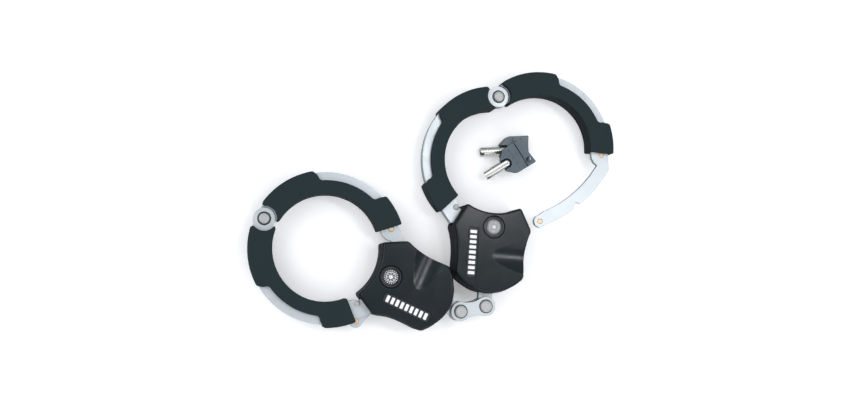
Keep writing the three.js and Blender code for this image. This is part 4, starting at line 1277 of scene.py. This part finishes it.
innerCoatings = {
    "core_front": "greyCasting", "core_rear": "greyCasting", "latch_guide": "greyCasting",
    "latch_bolt": "turnedSteel", "latch_spring": "springWire", "key_plug": "platedFlap"}
for side in ("left", "right"):
    for label, coating in innerCoatings.items():
        node = frame["nodes"][side + "_" + label]
        for slot in node.material_slots:
            slot.material = coatings[coating]


studio = {
    "floorSize": 6.0, "floorColour": (0.92, 0.925, 0.93), "floorRoughness": 0.9, "floorGlow": 0.22,
    "worldColour": (0.93, 0.96, 1.0), "worldZenith": 0.80, "worldHorizon": 0.34, "zenithFrom": 0.9,
    "lamps": {  # power, size and place
        "leftSpot": (1.0, 0.15, (0.272, 0.142, 1.00)), "rightSpot": (1.0, 0.15, (0.572, -0.037, 1.00)),
        "fillLight": (14.0, 1.6, (-1.30, 0.40, 1.20)), "frontLight": (11.0, 1.6, (0.40, -1.60, 1.20))}}
view = {"place": (-0.1355, -0.0578, 0.6870), "turn": (4.5, -10.97, -0.42), "lens": 39.5, "sensor": 36.0,
        "nearest": 0.01}


def areaLight(name, power, size, place):
    # a square lamp that points at the middle of the scene
    bpy.ops.object.light_add(type="AREA", location=place)
    lamp = bpy.context.object
    lamp.name = name
    lamp.data.energy = power
    lamp.data.shape = "SQUARE"
    lamp.data.size = size
    lamp.rotation_euler = (-Vector(place)).to_track_quat("-Z", "Y").to_euler()


bpy.ops.object.select_all(action="DESELECT")
bpy.ops.mesh.primitive_plane_add(size=studio["floorSize"], location=(0.0, 0.0, 0.0))
floor = bpy.context.object
floor.name = "floor"
paper = bpy.data.materials.new("palePaper")
paper.use_nodes = True
paperShader = paper.node_tree.nodes["Principled BSDF"]
paperShader.inputs["Base Color"].default_value = (*studio["floorColour"], 1.0)
paperShader.inputs["Roughness"].default_value = studio["floorRoughness"]
paperShader.inputs["Emission Color"].default_value = (1.0, 1.0, 1.0, 1.0)
paperShader.inputs["Emission Strength"].default_value = studio["floorGlow"]
floor.data.materials.append(paper)

world = bpy.data.worlds.new("studioWorld")
world.use_nodes = True
world.node_tree.nodes["Background"].inputs["Color"].default_value = (*studio["worldColour"], 1.0)
# brighter overhead, dimmer towards the horizon
sky = world.node_tree
skyCoords = addNode(sky, "ShaderNodeTexCoord")
skyHeight = addNode(sky, "ShaderNodeSeparateXYZ")
skyRamp = addNode(sky, "ShaderNodeMapRange", None, {
    "From Max": studio["zenithFrom"], "To Min": studio["worldHorizon"], "To Max": studio["worldZenith"]})
wire(sky, (skyCoords, "Generated", skyHeight, "Vector"), (skyHeight, "Z", skyRamp, "Value"),
     (skyRamp, "Result", sky.nodes["Background"], "Strength"))
bpy.context.scene.world = world
bpy.context.scene.view_settings.view_transform = "Standard"
for name, lamp in studio["lamps"].items():
    areaLight(name, *lamp)

bpy.ops.object.camera_add(location=view["place"], rotation=[radians(angle) for angle in view["turn"]])
camera = bpy.context.object
camera.data.lens = view["lens"]
camera.data.sensor_width = view["sensor"]
camera.data.clip_start = view["nearest"]
bpy.context.scene.camera = camera
print("stage: floor, light and camera ready")
